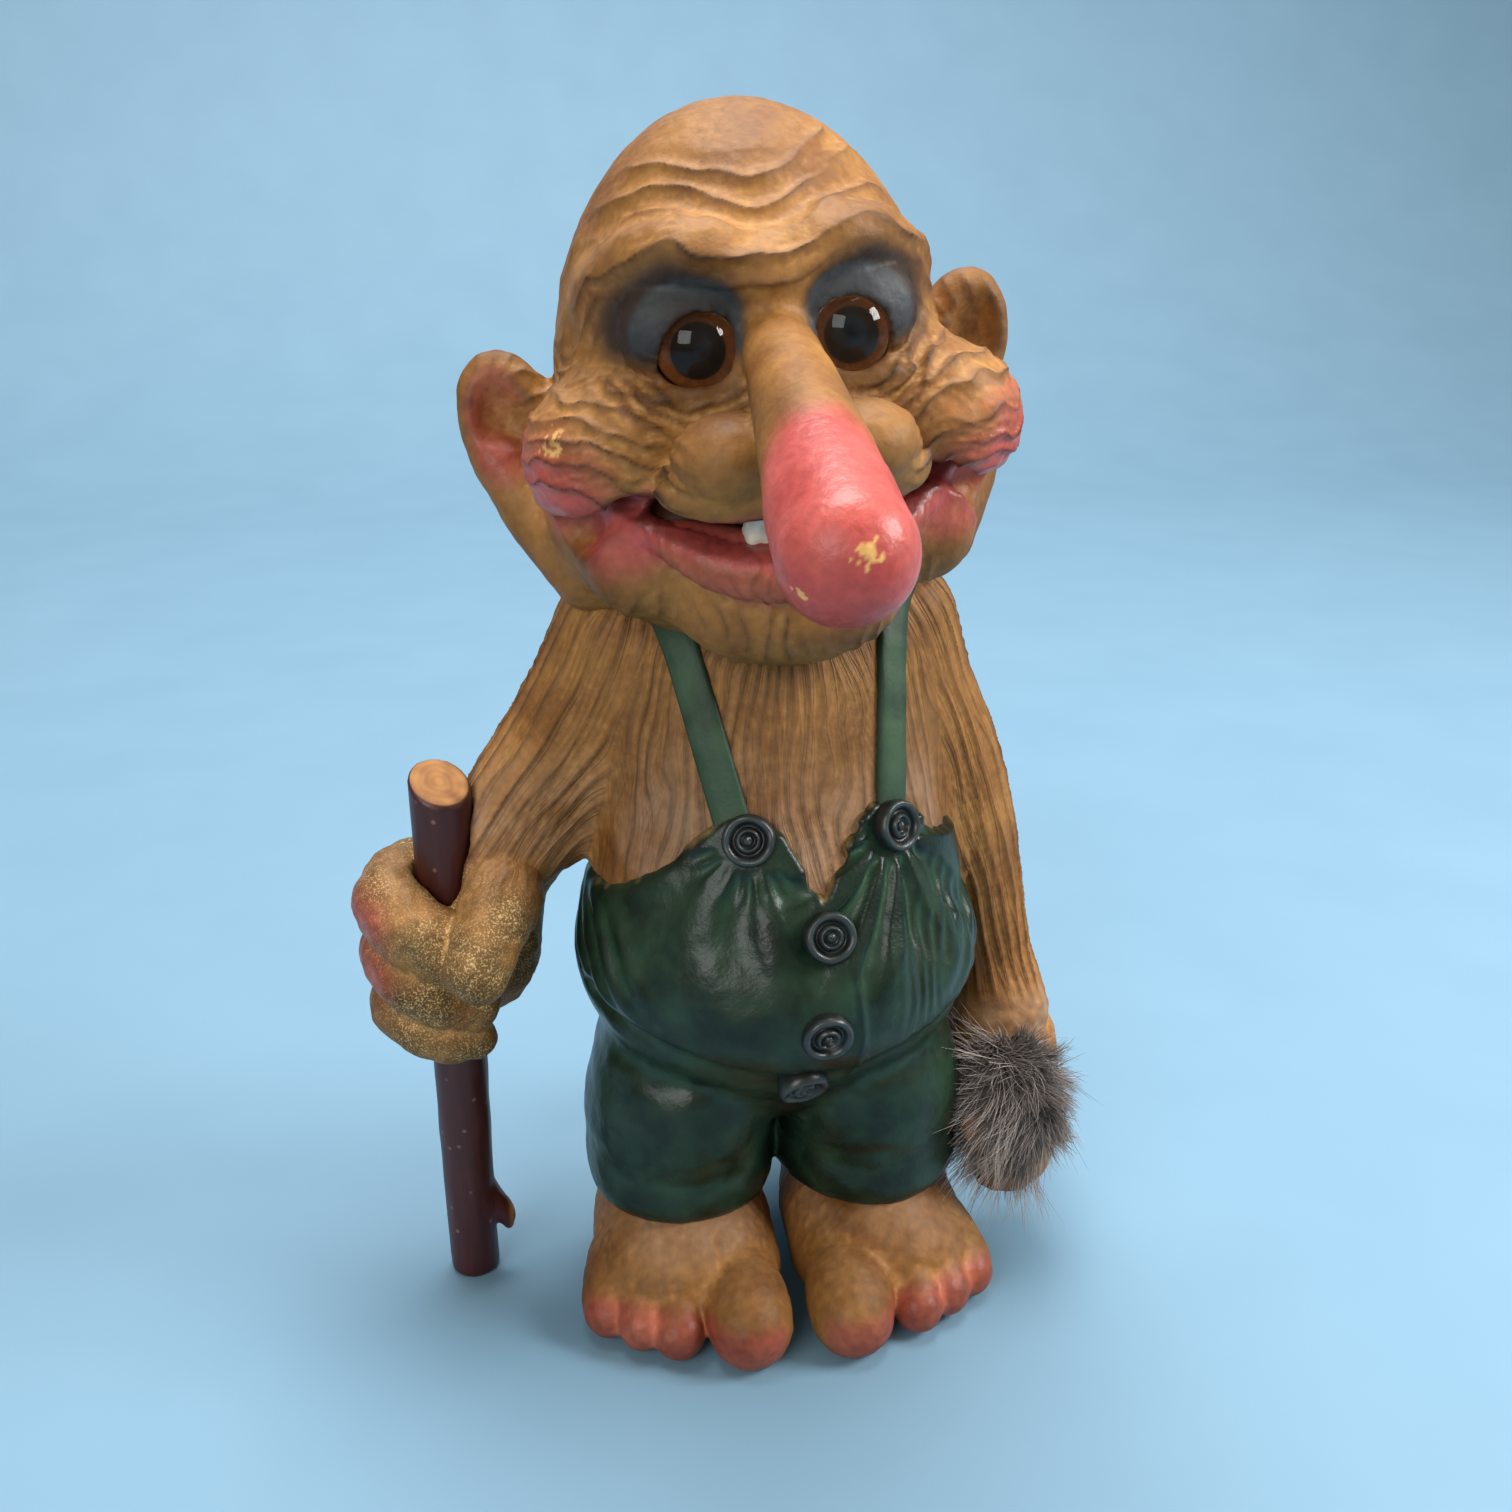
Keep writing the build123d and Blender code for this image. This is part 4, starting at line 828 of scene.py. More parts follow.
# %% Dungarees: the large forms
BIB_MIDDLE = 4.0
BIB_POINTS = [(-60, 92), (-40, 94), (-27, 102), (-16, 112), (-11, 115), (-5, 113.5), (0, 106), (4, 99.5)]
BIB_POINTS += [(8, 106), (13, 113.5), (18, 115), (24, 112), (33, 105), (60, 98)]
LEG_PLACE = 20.4
cloth_form = Column(TRUNK_ROWS[:5], 2.1)
cloth_clay = Clay((-48, -52, 16), (48, 38, 120), 0.5)
cloth_clay.add(cloth_form)
cloth_clay.add(Egg((1, -9.5, 76.5), (37.5, 35, 21)), 8)
for side in SIDES:
    place = side * LEG_PLACE
    leg_rows = [
        (22.5, place, -5, 39.5, 42),
        (33, place, -5.5, 40.5, 45),
        (46, place - 0.5 * side, -6, 41, 49),
        (60, place - 3.5 * side, -4.5, 39, 45.5),
        (72, place - 8 * side, -3, 30, 40),
    ]
    cloth_clay.add(Column(leg_rows), 2.2)
    cuff_rows = [
        (22.6, place, -5, 39, 43),
        (24.5, place, -5, 40.6, 45.5),
        (28, place, -5, 41, 46.5),
        (31.5, place, -5, 40.4, 45.5),
        (33.6, place, -5, 37.5, 43),
    ]
    cloth_clay.add(Column(cuff_rows), 0.7)
belly_line = [(-38, -16, 74), (-33, -27, 70), (-24, -36, 66), (-12, -40, 61.5), (1, -41, 59)]
belly_line += [(13, -40, 60.5), (25, -36, 65), (34, -27, 69), (39, -16, 74)]
cloth_clay.cut(Limb(belly_line, [1.2, 2.0, 2.8, 3.3, 3.5, 3.3, 2.8, 2.0, 1.2]), 4)
gx, gy, gz = np.meshgrid(*cloth_clay.axes, indexing="ij", sparse=True)
bib_x, bib_z = smooth_run(BIB_POINTS, 6).T
front_top = np.interp(gx, bib_x, bib_z)
BACK_TOP = 93.0
bib_top = np.where(gy < -2, front_top, BACK_TOP + (front_top - BACK_TOP) * fade(-gy, -6, 2))
cloth_clay.keep((gz - bib_top) * 0.75, 1.2)
cloth_points, cloth_faces = cloth_clay.surface(3)
print("dungarees have", len(cloth_faces), "faces")

# %% [markdown]
# Folds fan out from the two strap buttons, where the bib is held up. Others run round the hips and at the
# knees, and the seam of a fly runs down from below the notch. Paint has worn off along the neckline.

# %% Dungarees: folds and paint masks
x, y, z = cloth_points.T
front = fade(-y, 2, 14)
lift = np.zeros(len(x))
for button_x, button_z, spread, count in ((-9.5, 110.6, 0.7, 8), (19, 110.4, 1.2, 13)):
    gap = np.hypot(x - button_x, z - button_z)
    turn = np.arctan2(z - button_z, x - button_x)
    fan = np.sin(count * turn + 2.4 * grain(cloth_points, 16, 11) + button_x)
    reach = band(gap, 5, 9, 14, 24 + 14 * spread) * front
    lift += 0.95 * spread * np.sign(fan) * np.abs(fan) ** 0.8 * reach
    gather = band(gap, 5.5, 8, 9, 13) * front
    lift += 0.25 * gather * np.sin(22 * turn + 2 * grain(cloth_points, 8, 18))
hip = bell(z, 84, 9) * fade(np.abs(x), 26, 36)
lift += 0.55 * hip * np.sin(0.85 * (y - 0.9 * z) + 2.0 * grain(cloth_points, 18, 12))
knee = bell(z, 38, 6) + bell(z, 57, 6)
lift += 0.5 * knee * grain(cloth_points, (9, 9, 4.5), 13)
for strength, size, seed in ((0.5, 14, 14), (0.22, 6, 19), (0.1, 2.5, 15)):
    lift += strength * grain(cloth_points, size, seed)
wrinkle = fade(x, 14, 24) * bell(z, 88, 16) * front
wrinkle = wrinkle * fade(grain(cloth_points, 11, 21), -0.4, 0.3)
lift += 0.3 * wrinkle * np.sin(2.6 * x + 2.5 * grain(cloth_points, 9, 20))
fly = np.abs(x - BIB_MIDDLE - 5.2 - 1.2 * np.sin(z / 9))
fly_run = front * band(z, 56, 60, 90, 96)
lift -= 0.55 * fly_run * bell(fly, 0, 0.8)
lift += 0.25 * fly_run * (1 - fade(x - BIB_MIDDLE, 3, 5.4)) * fade(x, -6, 4)
lift = np.maximum(lift, -0.3 - 0.45 * fade(np.interp(x, bib_x, bib_z) - z, 6, 14))
cloth_points = cloth_points + lift[:, None] * point_normals(cloth_points, cloth_faces)
hollow = hollows(cloth_points, cloth_faces, 12)
broad = hollows(cloth_points, cloth_faces, 60)
x, y, z = cloth_points.T
edge_top = np.where(y < -2, np.interp(x, bib_x, bib_z), BACK_TOP)
steep = np.interp(x, bib_x, np.gradient(bib_z, bib_x))
edge = (edge_top - z) / np.where(y < -2, np.sqrt(1 + steep**2), 1.0)
ragged = 0.35 * grain(cloth_points, 2.5, 16)
cloth_masks = {
    "shade": np.clip(1.0 * hollow + 0.6 * broad + 0.8 * bell(x, 0, 3.5) * (1 - fade(z, 54, 60)), 0, 0.88),
    "shine": np.clip(-2.2 * hollow, 0, 1),
    "wear_and_highlight": np.clip(1 - fade(edge + ragged, -0.5, 0.15), 0, 1) * 0.8,
}
print("deepest fold:", round(float(hollow.max()), 2), "mm")

# %% [markdown]
# Dungaree paint is a dark bottle green with a half-gloss skin. Ridges carry a lighter grey-green painted
# highlight, and the painted shade in the folds is nearly black.

# %% Green paint


def make_green(name, dark, light, gloss):
    """Green paint between two tones. Gloss is the least roughness."""
    material, tree, shader = new_material(name)
    cloud = blotches(tree, 9, 5.0)
    speck = blotches(tree, 0.9, 3.0)
    colour = mix_paint(tree, rescale(tree, cloud, 0.35, 0.65), dark, light)
    colour = mix_paint(tree, rescale(tree, blotches(tree, 13, 6.0), 0.5, 0.7, 0.0, 0.6), colour, "#15180e")
    # A lighter grey-green painted highlight on the ridges.
    ridge_shine = arithmetic(tree, "MULTIPLY", read_mask(tree, "shine"), 0.45)
    colour = mix_paint(tree, ridge_shine, colour, "#56785f")
    colour = mix_paint(tree, read_mask(tree, "shade"), colour, "#0a130f")
    colour = mix_paint(tree, read_mask(tree, "wear_and_highlight"), colour, mix_paint(tree, speck, "#6a5531", "#a08456"))
    coat = {
        "Base Color": colour,
        "Roughness": rescale(tree, cloud, 0.0, 1.0, gloss, gloss + 0.2),
        "IOR": 1.5,
        "Specular IOR Level": 0.3,
        "Normal": bumps(tree, speck, 0.3, 0.3),
    }
    set_inputs(tree, shader, coat)
    return material


bottle_green = make_green("bottle_green_paint", "#0f1f14", "#243a29", 0.24)
strap_green = make_green("grey_green_paint", "#29412f", "#3a5138", 0.45)
add_piece("dungarees_cloth", cloth_points, cloth_faces, bottle_green, "figure", cloth_masks, ["dungarees"])

# %% [markdown]
# Each strap is a flat raised band over the shoulder. Its line runs on the trunk's oval sections from the
# button up the chest, over the shoulder and down the back, and is pushed out where the shoulders swell
# past the trunk.

# %% Straps


def on_trunk(x, z, sign):
    """A point on the trunk at this x and height, on its front (-1) or back (1)."""
    middle_x, middle_y, wide, deep = trunk_form.section(z)
    share = np.clip((x - middle_x) / wide, -0.999, 0.999)
    return np.array([x, middle_y + sign * deep * math.sqrt(1 - share**2), z])


def trunk_normal(point):
    """The outward direction of the trunk's surface near a point."""
    steps = np.eye(3) * 0.2
    slope = [trunk_form.distance(*(point + s)) - trunk_form.distance(*(point - s)) for s in steps]
    slope = np.array(slope, float).ravel()
    return slope / np.linalg.norm(slope)


def clay_gap(points):
    """How far points lie outside the chest and arms. It is less than zero inside."""
    cell = np.rint((points - body_clay.low) / body_clay.step).astype(int)
    cell = np.clip(cell, 0, np.array(body_clay.field.shape) - 1)
    return body_clay.field[tuple(cell.T)].astype(float)


def ease(values, rounds):
    """Smooths a run of values between its two ends."""
    for _ in range(rounds):
        values[1:-1] = 0.5 * values[1:-1] + 0.25 * (values[:-2] + values[2:])
    return values


STRAP_WIDTH = 7.0
STRAP_LOW = 107.0
STRAP_HIGH = 150.5
STRAP_OUT = 21.0
# Painted shade down each band's side walls, darkest where the band meets the chest.
STRAP_EDGE_SHADE = [0.8, 0.5, 0.1, 0, 0, 0.1, 0.5, 0.8]
half = STRAP_WIDTH / 2
strap_profile = [(-half, -1.4), (-half, 0.9), (-half + 0.5, 1.35), (-1.2, 1.5), (1.2, 1.5)]
strap_profile += [(half - 0.5, 1.35), (half, 0.9), (half, -1.4)]
heights = np.linspace(STRAP_LOW, STRAP_HIGH, 30)
for side, name in NAMED_SIDES:
    low_x = BIB_MIDDLE + 14.5 * side
    shifts = low_x + (STRAP_OUT * side - low_x) * (heights - STRAP_LOW) / (STRAP_HIGH - STRAP_LOW)
    line = [on_trunk(shift, height, -1) for shift, height in zip(shifts, heights)]
    line.append(np.array([21.2 * side, -1.0, 152.3]))
    line += [on_trunk(shift, height, 1) for shift, height in zip(shifts[::-1], heights[::-1])]
    line.append(on_trunk(low_x, 92.0, 1))
    line = ease(smooth_run(np.array(line), 2), 6)
    outward = np.array([trunk_normal(point) for point in line])
    for _ in range(3):
        line = line + outward * ease(np.maximum(-clay_gap(line), 0), 4)[:, None]
    ahead = unit_rows(np.gradient(line, axis=0))
    slopes = [clay_gap(line + step) - clay_gap(line - step) for step in 1.5 * np.eye(3)]
    outward = ease(0.5 * outward + np.column_stack(slopes) / 3, 8)
    sideways = unit_rows(np.cross(ahead, outward))
    outward = np.cross(sideways, ahead)
    rings = np.stack([line + sideways * a + outward * b for a, b in strap_profile], axis=1)
    faces = ring_faces(*rings.shape[:2])
    # The band's side walls get their painted shade through the shade mask.
    edge_shade = np.tile(STRAP_EDGE_SHADE, len(line))
    strap_masks = {"shade": edge_shade, "shine": np.zeros(len(edge_shade)), "wear_and_highlight": np.zeros(len(edge_shade))}
    points = rings.reshape(-1, 3)
    add_piece(f"{name}_strap_band", points, faces, strap_green, "figure", strap_masks, [f"{name}_strap"])

# %% [markdown]
# Buttons are turned discs in the moulding: a raised rim, a dished face, a ring and a knob. They are
# lathed round the trunk's own outward direction and made slightly uneven. Small shifts set four of them
# where the photograph shows them, up to 4 mm off their solids, and bring the two lowest forward to the
# raised cloth.

# %% Buttons


def lathe(profile, segments):
    """Points and faces of a profile of (radius, height) pairs turned about an upright axis."""
    turns = np.linspace(0, 2 * math.pi, segments, endpoint=False)
    rings = np.array([[(r * math.cos(t), r * math.sin(t), h) for t in turns] for r, h in profile])
    return rings.reshape(-1, 3), ring_faces(len(profile), segments)


button_black, tree, shader = new_material("black_button_paint")
cloud = blotches(tree, 2.5, 5.0)
black = mix_paint(tree, cloud, "#0e1110", "#1d2221")
coat = {
    "Base Color": mix_paint(tree, read_mask(tree, "raised"), black, "#3d4644"),
    "Roughness": rescale(tree, cloud, 0.0, 1.0, 0.22, 0.5),
}
set_inputs(tree, shader, coat)
BUTTON_PROFILE = smooth_run(
    [(5.6, -2.6), (5.95, -0.4), (5.9, 0.9), (5.3, 1.75), (4.4, 1.6), (3.7, 0.7), (3.1, 0.55)]
    + [(2.7, 1.3), (2.2, 1.7), (1.7, 1.1), (1.3, 0.9), (0.9, 1.5), (0.05, 1.9)],
    4,
)
BUTTON_SHIFT = {
    "right_strap": (1.2, 0, -0.6),
    "left_strap": (0.5, 0, -0.9),
    "middle_front": (-1.0, -1.3, 0),
    "bottom_front": (-4.0, -0.5, 0),
}
for name in ("right_strap", "left_strap", "top_front", "middle_front", "bottom_front"):
    low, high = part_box(f"{name}_button")
    middle = np.array((low + high) / 2) / MM
    outward = trunk_normal(middle)
    points, faces = lathe(BUTTON_PROFILE * (0.84, 1.0), 56)
    height = points[:, 2]
    turn = np.arctan2(points[:, 1], points[:, 0])
    rough_points = points + middle
    points[:, 2] += 0.22 * grain(rough_points, 2.2, 21) + 0.25 * np.sin(turn + middle[2]) * (height > 0)
    points[:, :2] *= 1 + 0.03 * grain(rough_points, 4, 22)[:, None]
    lift = np.clip((height - 1.0) / 0.9, 0, 1) * 0.5
    turned = np.array(Vector((0, 0, 1)).rotation_difference(Vector(outward)).to_matrix())
    place = middle + outward * 0.2 + np.array(BUTTON_SHIFT.get(name, (0, 0, 0)))
    add_piece(
        f"{name}_button_disc", points @ turned.T + place, faces, button_black, "figure", {"raised": lift},
        [f"{name}_button"],
    )

# %% [markdown]
# The feet are broad and flat, with a big toe and three small ones. Each toe is a short swollen limb, and
# the sole is cut flat where the figure stands. Paint is brown, dusted grey on the instep and rose on the
# toe tips.

# %% Feet
for side, name in NAMED_SIDES:
    foot_clay = Clay((side * 23 - 25, -54, -2), (side * 23 + 25, 28, 33), 0.5)
    foot_clay.add(Egg((side * 21, 12, 9), (14, 14, 15)))
    foot_clay.add(Limb([(side * 21, 1, 8), (side * 21, 0, 30)], [15, 14]), 6)
    foot_clay.add(Egg((side * 21, -10, 10), (19.5, 26, 17)), 6)
    foot_clay.add(Egg((side * 22, -24, 8), (20.3, 13, 10)), 6)
    big_toe = [(side * 12, -26, 9), (side * 11, -36, 8.4), (side * 10.6, -41, 7.2)]
    foot_clay.add(Limb(big_toe, [8.2, 9.2, 8.6]), 1.6)
    for toe_x, tip_y in ((25, -40), (32, -36), (38.6, -31)):
        toe = [(side * (toe_x - 1.5), tip_y + 14, 9)]
        toe += [(side * toe_x, tip_y + 5, 7.2), (side * toe_x, tip_y + 1, 5.6)]
        foot_clay.add(Limb(toe, [5.2, 5.5, 5.3]), 1.2)
    sole = -foot_clay.axes[2][None, None, :] + 0.0 * foot_clay.field
    foot_clay.keep(sole, 1.0)
    points, faces = foot_clay.surface(2)
    x, y, z = points.T
    firm = fade(z, 0.6, 3)
    relief = 0.22 * grain(points, 4, 31) + 0.12 * grain(points, 1.8, 32)
    instep_lines = band(-y, -2, 6, 24, 30) * fade(z, 10, 15)
    relief -= 0.18 * instep_lines * grooves(points, 3.2, 9, 33)
    points = points + (relief * firm)[:, None] * point_normals(points, faces)
    points[:, 2] = np.maximum(points[:, 2], 0.0)
    hollow = hollows(points, faces, 10)
    broad = hollows(points, faces, 50)
    foot_masks = {
        # Dark wash in the hollows with painted shade in broad hollows and a darker tone overall, except on
        # the sole; ridges get a painted highlight.
        "wash_and_shade": np.clip(1.3 * hollow + 0.4 * broad + 0.22 + 0.15 * grain(points, 9, 34), 0, 0.9) * firm,
        "ridge": np.clip(-2.2 * hollow, 0, 1),
        "rose": 0.6 * fade(-y + 0.42 * np.abs(x), 45.5, 50.5) * (1 - fade(z, 9, 13)),
        "dust": 0.5 * fade(z, 13, 22),
    }
    add_piece(f"{name}_foot_skin", points, faces, skin, "figure", foot_masks, [f"{name}_foot"])

# %% [markdown]
# The tail is a tapered rubber rod that leaves the seat, curves round the left side and ends in the left
# hand.

# %% Tail
tail_path = [(5, 24, 60), (15, 38, 47), (33, 43, 37), (52, 34, 35)]
tail_path += [(61.5, 18, 40), (62.5, 3, 45), (61.5, -6, 38)]
tail_form = Limb(tail_path, [8, 6.5, 5.5, 5, 4.5, 4, 3.5])
tail_clay = Clay(tail_form.low - 3, tail_form.high + 3, 0.55)
tail_clay.add(tail_form)
tail_points, tail_faces = tail_clay.surface(2)
tail_strand = along_limb(tail_points, tail_form)
tail_strand, groove = combed(tail_strand, 12, 5.0, 41)
tail_points = tail_points - 0.5 * groove[:, None] * point_normals(tail_points, tail_faces)
# Dark wash and painted shade in the hair grooves, and a painted highlight on the ridges between them.
tail_masks = {"wash_and_shade": 0.4 * groove, "ridge": 0.3 * (1 - groove), "hair": np.ones(len(groove))}
tail = add_piece("tail_skin", tail_points, tail_faces, skin, "figure", tail_masks, ["tail"])
keep_strand(tail, tail_strand)

# %% [markdown]
# The tuft is real fur glued round the tail's end. A dark core fills it, painted as the shade deep inside
# the fur, and thousands of thin tapered hairs stand on the core in locks that curl and droop, with a few
# long pale guard hairs; each hair is painted darker towards its root as shade among the hairs. Hair
# curves would render well but are not a mesh, so each hair is a slim tube of three sides.

# %% Tail tuft
fur, tree, shader = new_material("grey_brown_fur")
# The dark end is dark hair and also the painted shade of the core and hair roots; the pale end is light hair.
root = mix_paint(tree, blotches(tree, 4, 2.0), "#1c1617", "#3c3335")
fur_colour = mix_paint(tree, read_mask(tree, "hair_tone_and_shade"), root, "#b3a69d")
set_inputs(tree, shader, {"Base Color": fur_colour, "Roughness": 0.55})
TUFT_MIDDLE = np.array([51.5, -13.5, 37.0])
TUFT_HALF = np.array([10.0, 9.5, 16.0])
HAIR_TURNS = (0, 2.094, 4.189)
DROOP = np.array([0.0, 0.0, -0.3])
rng = np.random.default_rng(7)


def add_hairs(roots, ways, lengths, shades, thick, bends):
    """Points, faces and shades of tapered three-sided hairs that bend as they go out."""
    steps = 5
    share = np.linspace(0, 1, steps)
    line = roots[:, None, :] + ways[:, None, :] * (lengths[:, None] * share)[:, :, None]
    line += (bends * lengths[:, None])[:, None, :] * (share**2)[None, :, None]
    line += rng.normal(0, 0.10, (len(roots), 1, 3)) * (lengths[:, None] * share**2)[:, :, None]
    side = unit_rows(np.cross(ways, rng.normal(0, 1, ways.shape)))
    other = np.cross(ways, side)
    width = thick * (1 - 0.85 * share**1.5)
    rings = []
    for turn in HAIR_TURNS:
        rings.append(line + width[:, None] * (math.cos(turn) * side + math.sin(turn) * other)[:, None, :])
    points = np.stack(rings, axis=2)
    faces = ring_faces(len(roots), steps, len(HAIR_TURNS))
    # Each hair lightens from root to tip; the darker root is painted shade among the hairs.
    tone = np.repeat(np.clip(shades[:, None] + 0.25 * share, 0, 1), 3, axis=1)
    return points.reshape(-1, 3), faces, tone.ravel()


def tuft_roots(count):
    """Spots spread over the core, with their outward directions."""
    height = rng.uniform(-0.97, 0.97, count)
    turn = rng.uniform(0, 2 * math.pi, count)
    flat = np.sqrt(1 - height**2)
    unit = np.column_stack([flat * np.cos(turn), flat * np.sin(turn), height])
    out = unit / TUFT_HALF
    return TUFT_MIDDLE + unit * TUFT_HALF * 0.85, unit_rows(out)


core_clay = Clay(TUFT_MIDDLE - 26, TUFT_MIDDLE + 26, 0.9)
core_clay.add(Egg(TUFT_MIDDLE, TUFT_HALF * 0.86))
core_points, core_faces = core_clay.surface()
core_lumps = 1.2 * grain(core_points, 5, 51)
core_points = core_points + core_lumps[:, None] * point_normals(core_points, core_faces)
core_points[:, 2] = np.maximum(core_points[:, 2], 1.5)
# The core takes the darkest fur colour, as painted shade deep inside the tuft.
core_shade = np.full(len(core_points), 0.0)
parts = [(core_points, core_faces, core_shade)]


def swirl(roots, size, seed):
    """A direction that drifts slowly over the core, so neighbouring hairs lie together in a lock."""
    return np.column_stack([grain(roots, size, seed + step) for step in range(3)])


roots, out = tuft_roots(6000)
locks = swirl(roots, 6, 52)
ways = 0.8 * out + 1.1 * locks + np.array([-0.1, 0.0, -0.4]) * (1 - fade(out[:, 2], 0.0, 0.5))[:, None]
shades = np.clip(0.05 + 0.3 * rng.random(len(roots)) ** 3 + 0.5 * locks[:, 0], 0, 1)
lengths = rng.uniform(4.0, 8.0, len(roots))
parts.append(add_hairs(roots, unit_rows(ways), lengths, shades, 0.15, 0.9 * swirl(roots, 7, 61) + DROOP))
roots, out = tuft_roots(1000)
ways = 0.55 * out + 0.9 * swirl(roots, 9, 55) + np.array([-0.35, 0.0, -0.2])
shades = rng.uniform(0.2, 0.75, len(roots))
lengths = rng.uniform(8, 13, len(roots))
parts.append(add_hairs(roots, unit_rows(ways), lengths, shades, 0.12, 0.8 * swirl(roots, 8, 64) + DROOP))
roots, out = tuft_roots(420)
to_leg = out[:, 0] < 0.2
ways = unit_rows(out + np.array([-0.9, -0.1, 0.1]) + rng.normal(0, 0.25, out.shape))[to_leg]
lengths = rng.uniform(8, 16, len(roots))[to_leg]
shades = rng.uniform(0.5, 1.0, len(roots))[to_leg]
roots = roots[to_leg]
parts.append(add_hairs(roots, ways, lengths, shades, 0.1, 0.5 * swirl(roots, 8, 67) + 0.4 * DROOP))
total = 0
all_faces = []
for points, faces, tone in parts:
    all_faces.append(faces + total)
    total += len(points)
tuft_points = np.vstack([part[0] for part in parts])
tuft_points[:, 2] = np.maximum(tuft_points[:, 2], 0.6)
tuft_tone = np.concatenate([part[2] for part in parts])
tuft_masks = {"hair_tone_and_shade": tuft_tone}
add_piece("tail_tuft_fur", tuft_points, np.vstack(all_faces), fur, "figure", tuft_masks, ["tail_tuft"])

# %% [markdown]
# Each eye is a glass dome with a painted disc behind it: a wide black pupil, an amber ring with fine
# spokes and a dark rim. Light has to reach the disc, so the glass lets shadow rays through.

# %% Eyes
eye_glass, tree, shader = new_material("eye_glass")
coat = {
    "Base Color": paint("#fffaf2"),
    "Roughness": rescale(tree, blotches(tree, 5), 0.0, 1.0, 0.0, 0.05),
    "Transmission Weight": 1.0,
    "IOR": 1.3,
}
set_inputs(tree, shader, coat)
clear = add_node(tree, "ShaderNodeBsdfTransparent")
ray = add_node(tree, "ShaderNodeLightPath").outputs["Is Shadow Ray"]
blend = add_node(tree, "ShaderNodeMixShader", {0: ray, 1: shader.outputs["BSDF"], 2: clear.outputs["BSDF"]})
tree.links.new(blend.outputs["Shader"], tree.nodes["Material Output"].inputs["Surface"])

eye_paint, tree, shader = new_material("painted_iris")
radius = read_mask(tree, "radius")
amber = mix_paint(tree, read_mask(tree, "spoke"), "#1e0d04", "#64350f")
ring = mix_paint(tree, rescale(tree, radius, 0.53, 0.58), "#020202", amber)
iris = mix_paint(tree, rescale(tree, radius, 0.80, 0.95), ring, "#140803")
set_inputs(tree, shader, {"Base Color": iris, "Roughness": 0.4, "Specular IOR Level": 0.1})

angles = np.linspace(math.asin(EYE_RADIUS / EYE_CURVE), 0.004, 24)
dome = [(0.03, 0.0), (EYE_RADIUS, 0.0)]
dome += [(EYE_CURVE * math.sin(a), EYE_CURVE * math.cos(a) - EYE_CURVE + EYE_DOME) for a in angles]
for side, name in NAMED_SIDES:
    seat = np.array([side * EYE_SPACING / 2, EYE_SEAT, EYE_RISE])
    points, faces = lathe(dome, 64)
    points = np.column_stack([points[:, 0], -points[:, 2], points[:, 1]]) + seat
    add_piece(f"{name}_eye_dome", from_head(points), faces, eye_glass, "figure", None, [f"{name}_eye_glass"])
    disc = [(r * EYE_RADIUS, 0.0) for r in np.linspace(1.0, 0.004, 28)]
    disc = [(EYE_RADIUS, -1.2)] + disc
    points, faces = lathe(disc, 96)
    reach = np.hypot(points[:, 0], points[:, 1] + 0.7) / EYE_RADIUS
    turn = np.arctan2(points[:, 1], points[:, 0])
    spokes = 0.45 + 0.35 * grain(np.column_stack([9 * np.cos(turn), 9 * np.sin(turn), 2 * reach]), 1.0, 61)
    points = np.column_stack([points[:, 0], -points[:, 2] + 0.02, points[:, 1]]) + seat
    add_piece(
        f"{name}_eye_disc", from_head(points), faces, eye_paint, "figure", {"radius": reach, "spoke": spokes},
        [f"{name}_eye_iris"],
    )

# %% [markdown]
# One tooth stands in the lower gum. It is a stub of white paint over rubber, with an uneven surface.

# %% Tooth
tooth_paint, tree, shader = new_material("white_tooth_paint")
enamel = mix_paint(tree, blotches(tree, 2.0, 4.0), "#cfc4a8", "#f4f1e8")
set_inputs(tree, shader, {"Base Color": enamel, "Roughness": 0.35})
tooth_clay = Clay((-12, -43, -31), (-1, -32, -12), 0.3)
TOOTH_ROWS = [(-26.5, -6.5, -37.5, 4.4, 3.8), (-21, -6.5, -38, 5.2, 4.2), (-16.5, -6.5, -38.5, 4.8, 3.6)]
tooth_clay.add(Column(TOOTH_ROWS))
points, faces = tooth_clay.surface(4)
points = points + (0.45 * grain(points, 1.8, 71))[:, None] * point_normals(points, faces)
add_piece("tooth_stub", from_head(points), faces, tooth_paint, "figure", None, ["tooth"])

# %% [markdown]
# The stick is a real twig with smooth red-brown bark, pale flecks, a slanting cut at the top that shows
# tan wood with rings, and the torn stub of a side shoot near its foot.

# %% Stick
bark, tree, shader = new_material("red_brown_bark")
place = add_node(tree, "ShaderNodeTexCoord").outputs["Object"]
stretch = add_node(tree, "ShaderNodeMapping", {"Vector": place, "Scale": (1.0, 1.0, 0.12)}).outputs["Vector"]
streak = blotches(tree, 1.2, 6.0, stretch)
fleck = add_node(tree, "ShaderNodeTexVoronoi", {"Vector": place, "Scale": 1.0 / (5 * MM)}).outputs["Distance"]
cut = read_mask(tree, "cut")
wood = mix_paint(tree, read_mask(tree, "rings"), "#7d4a1c", "#bb8242")
colour = mix_paint(tree, streak, "#240806", "#4a1610")
colour = mix_paint(tree, rescale(tree, fleck, 0.05, 0.12, 0.55, 0.0), colour, "#9a6a55")
coat = {
    "Base Color": mix_paint(tree, cut, colour, wood),
    "Roughness": rescale(tree, cut, 0.0, 1.0, 0.42, 0.7),
    "Normal": bumps(tree, streak, 0.25, 0.3),
}
set_inputs(tree, shader, coat)

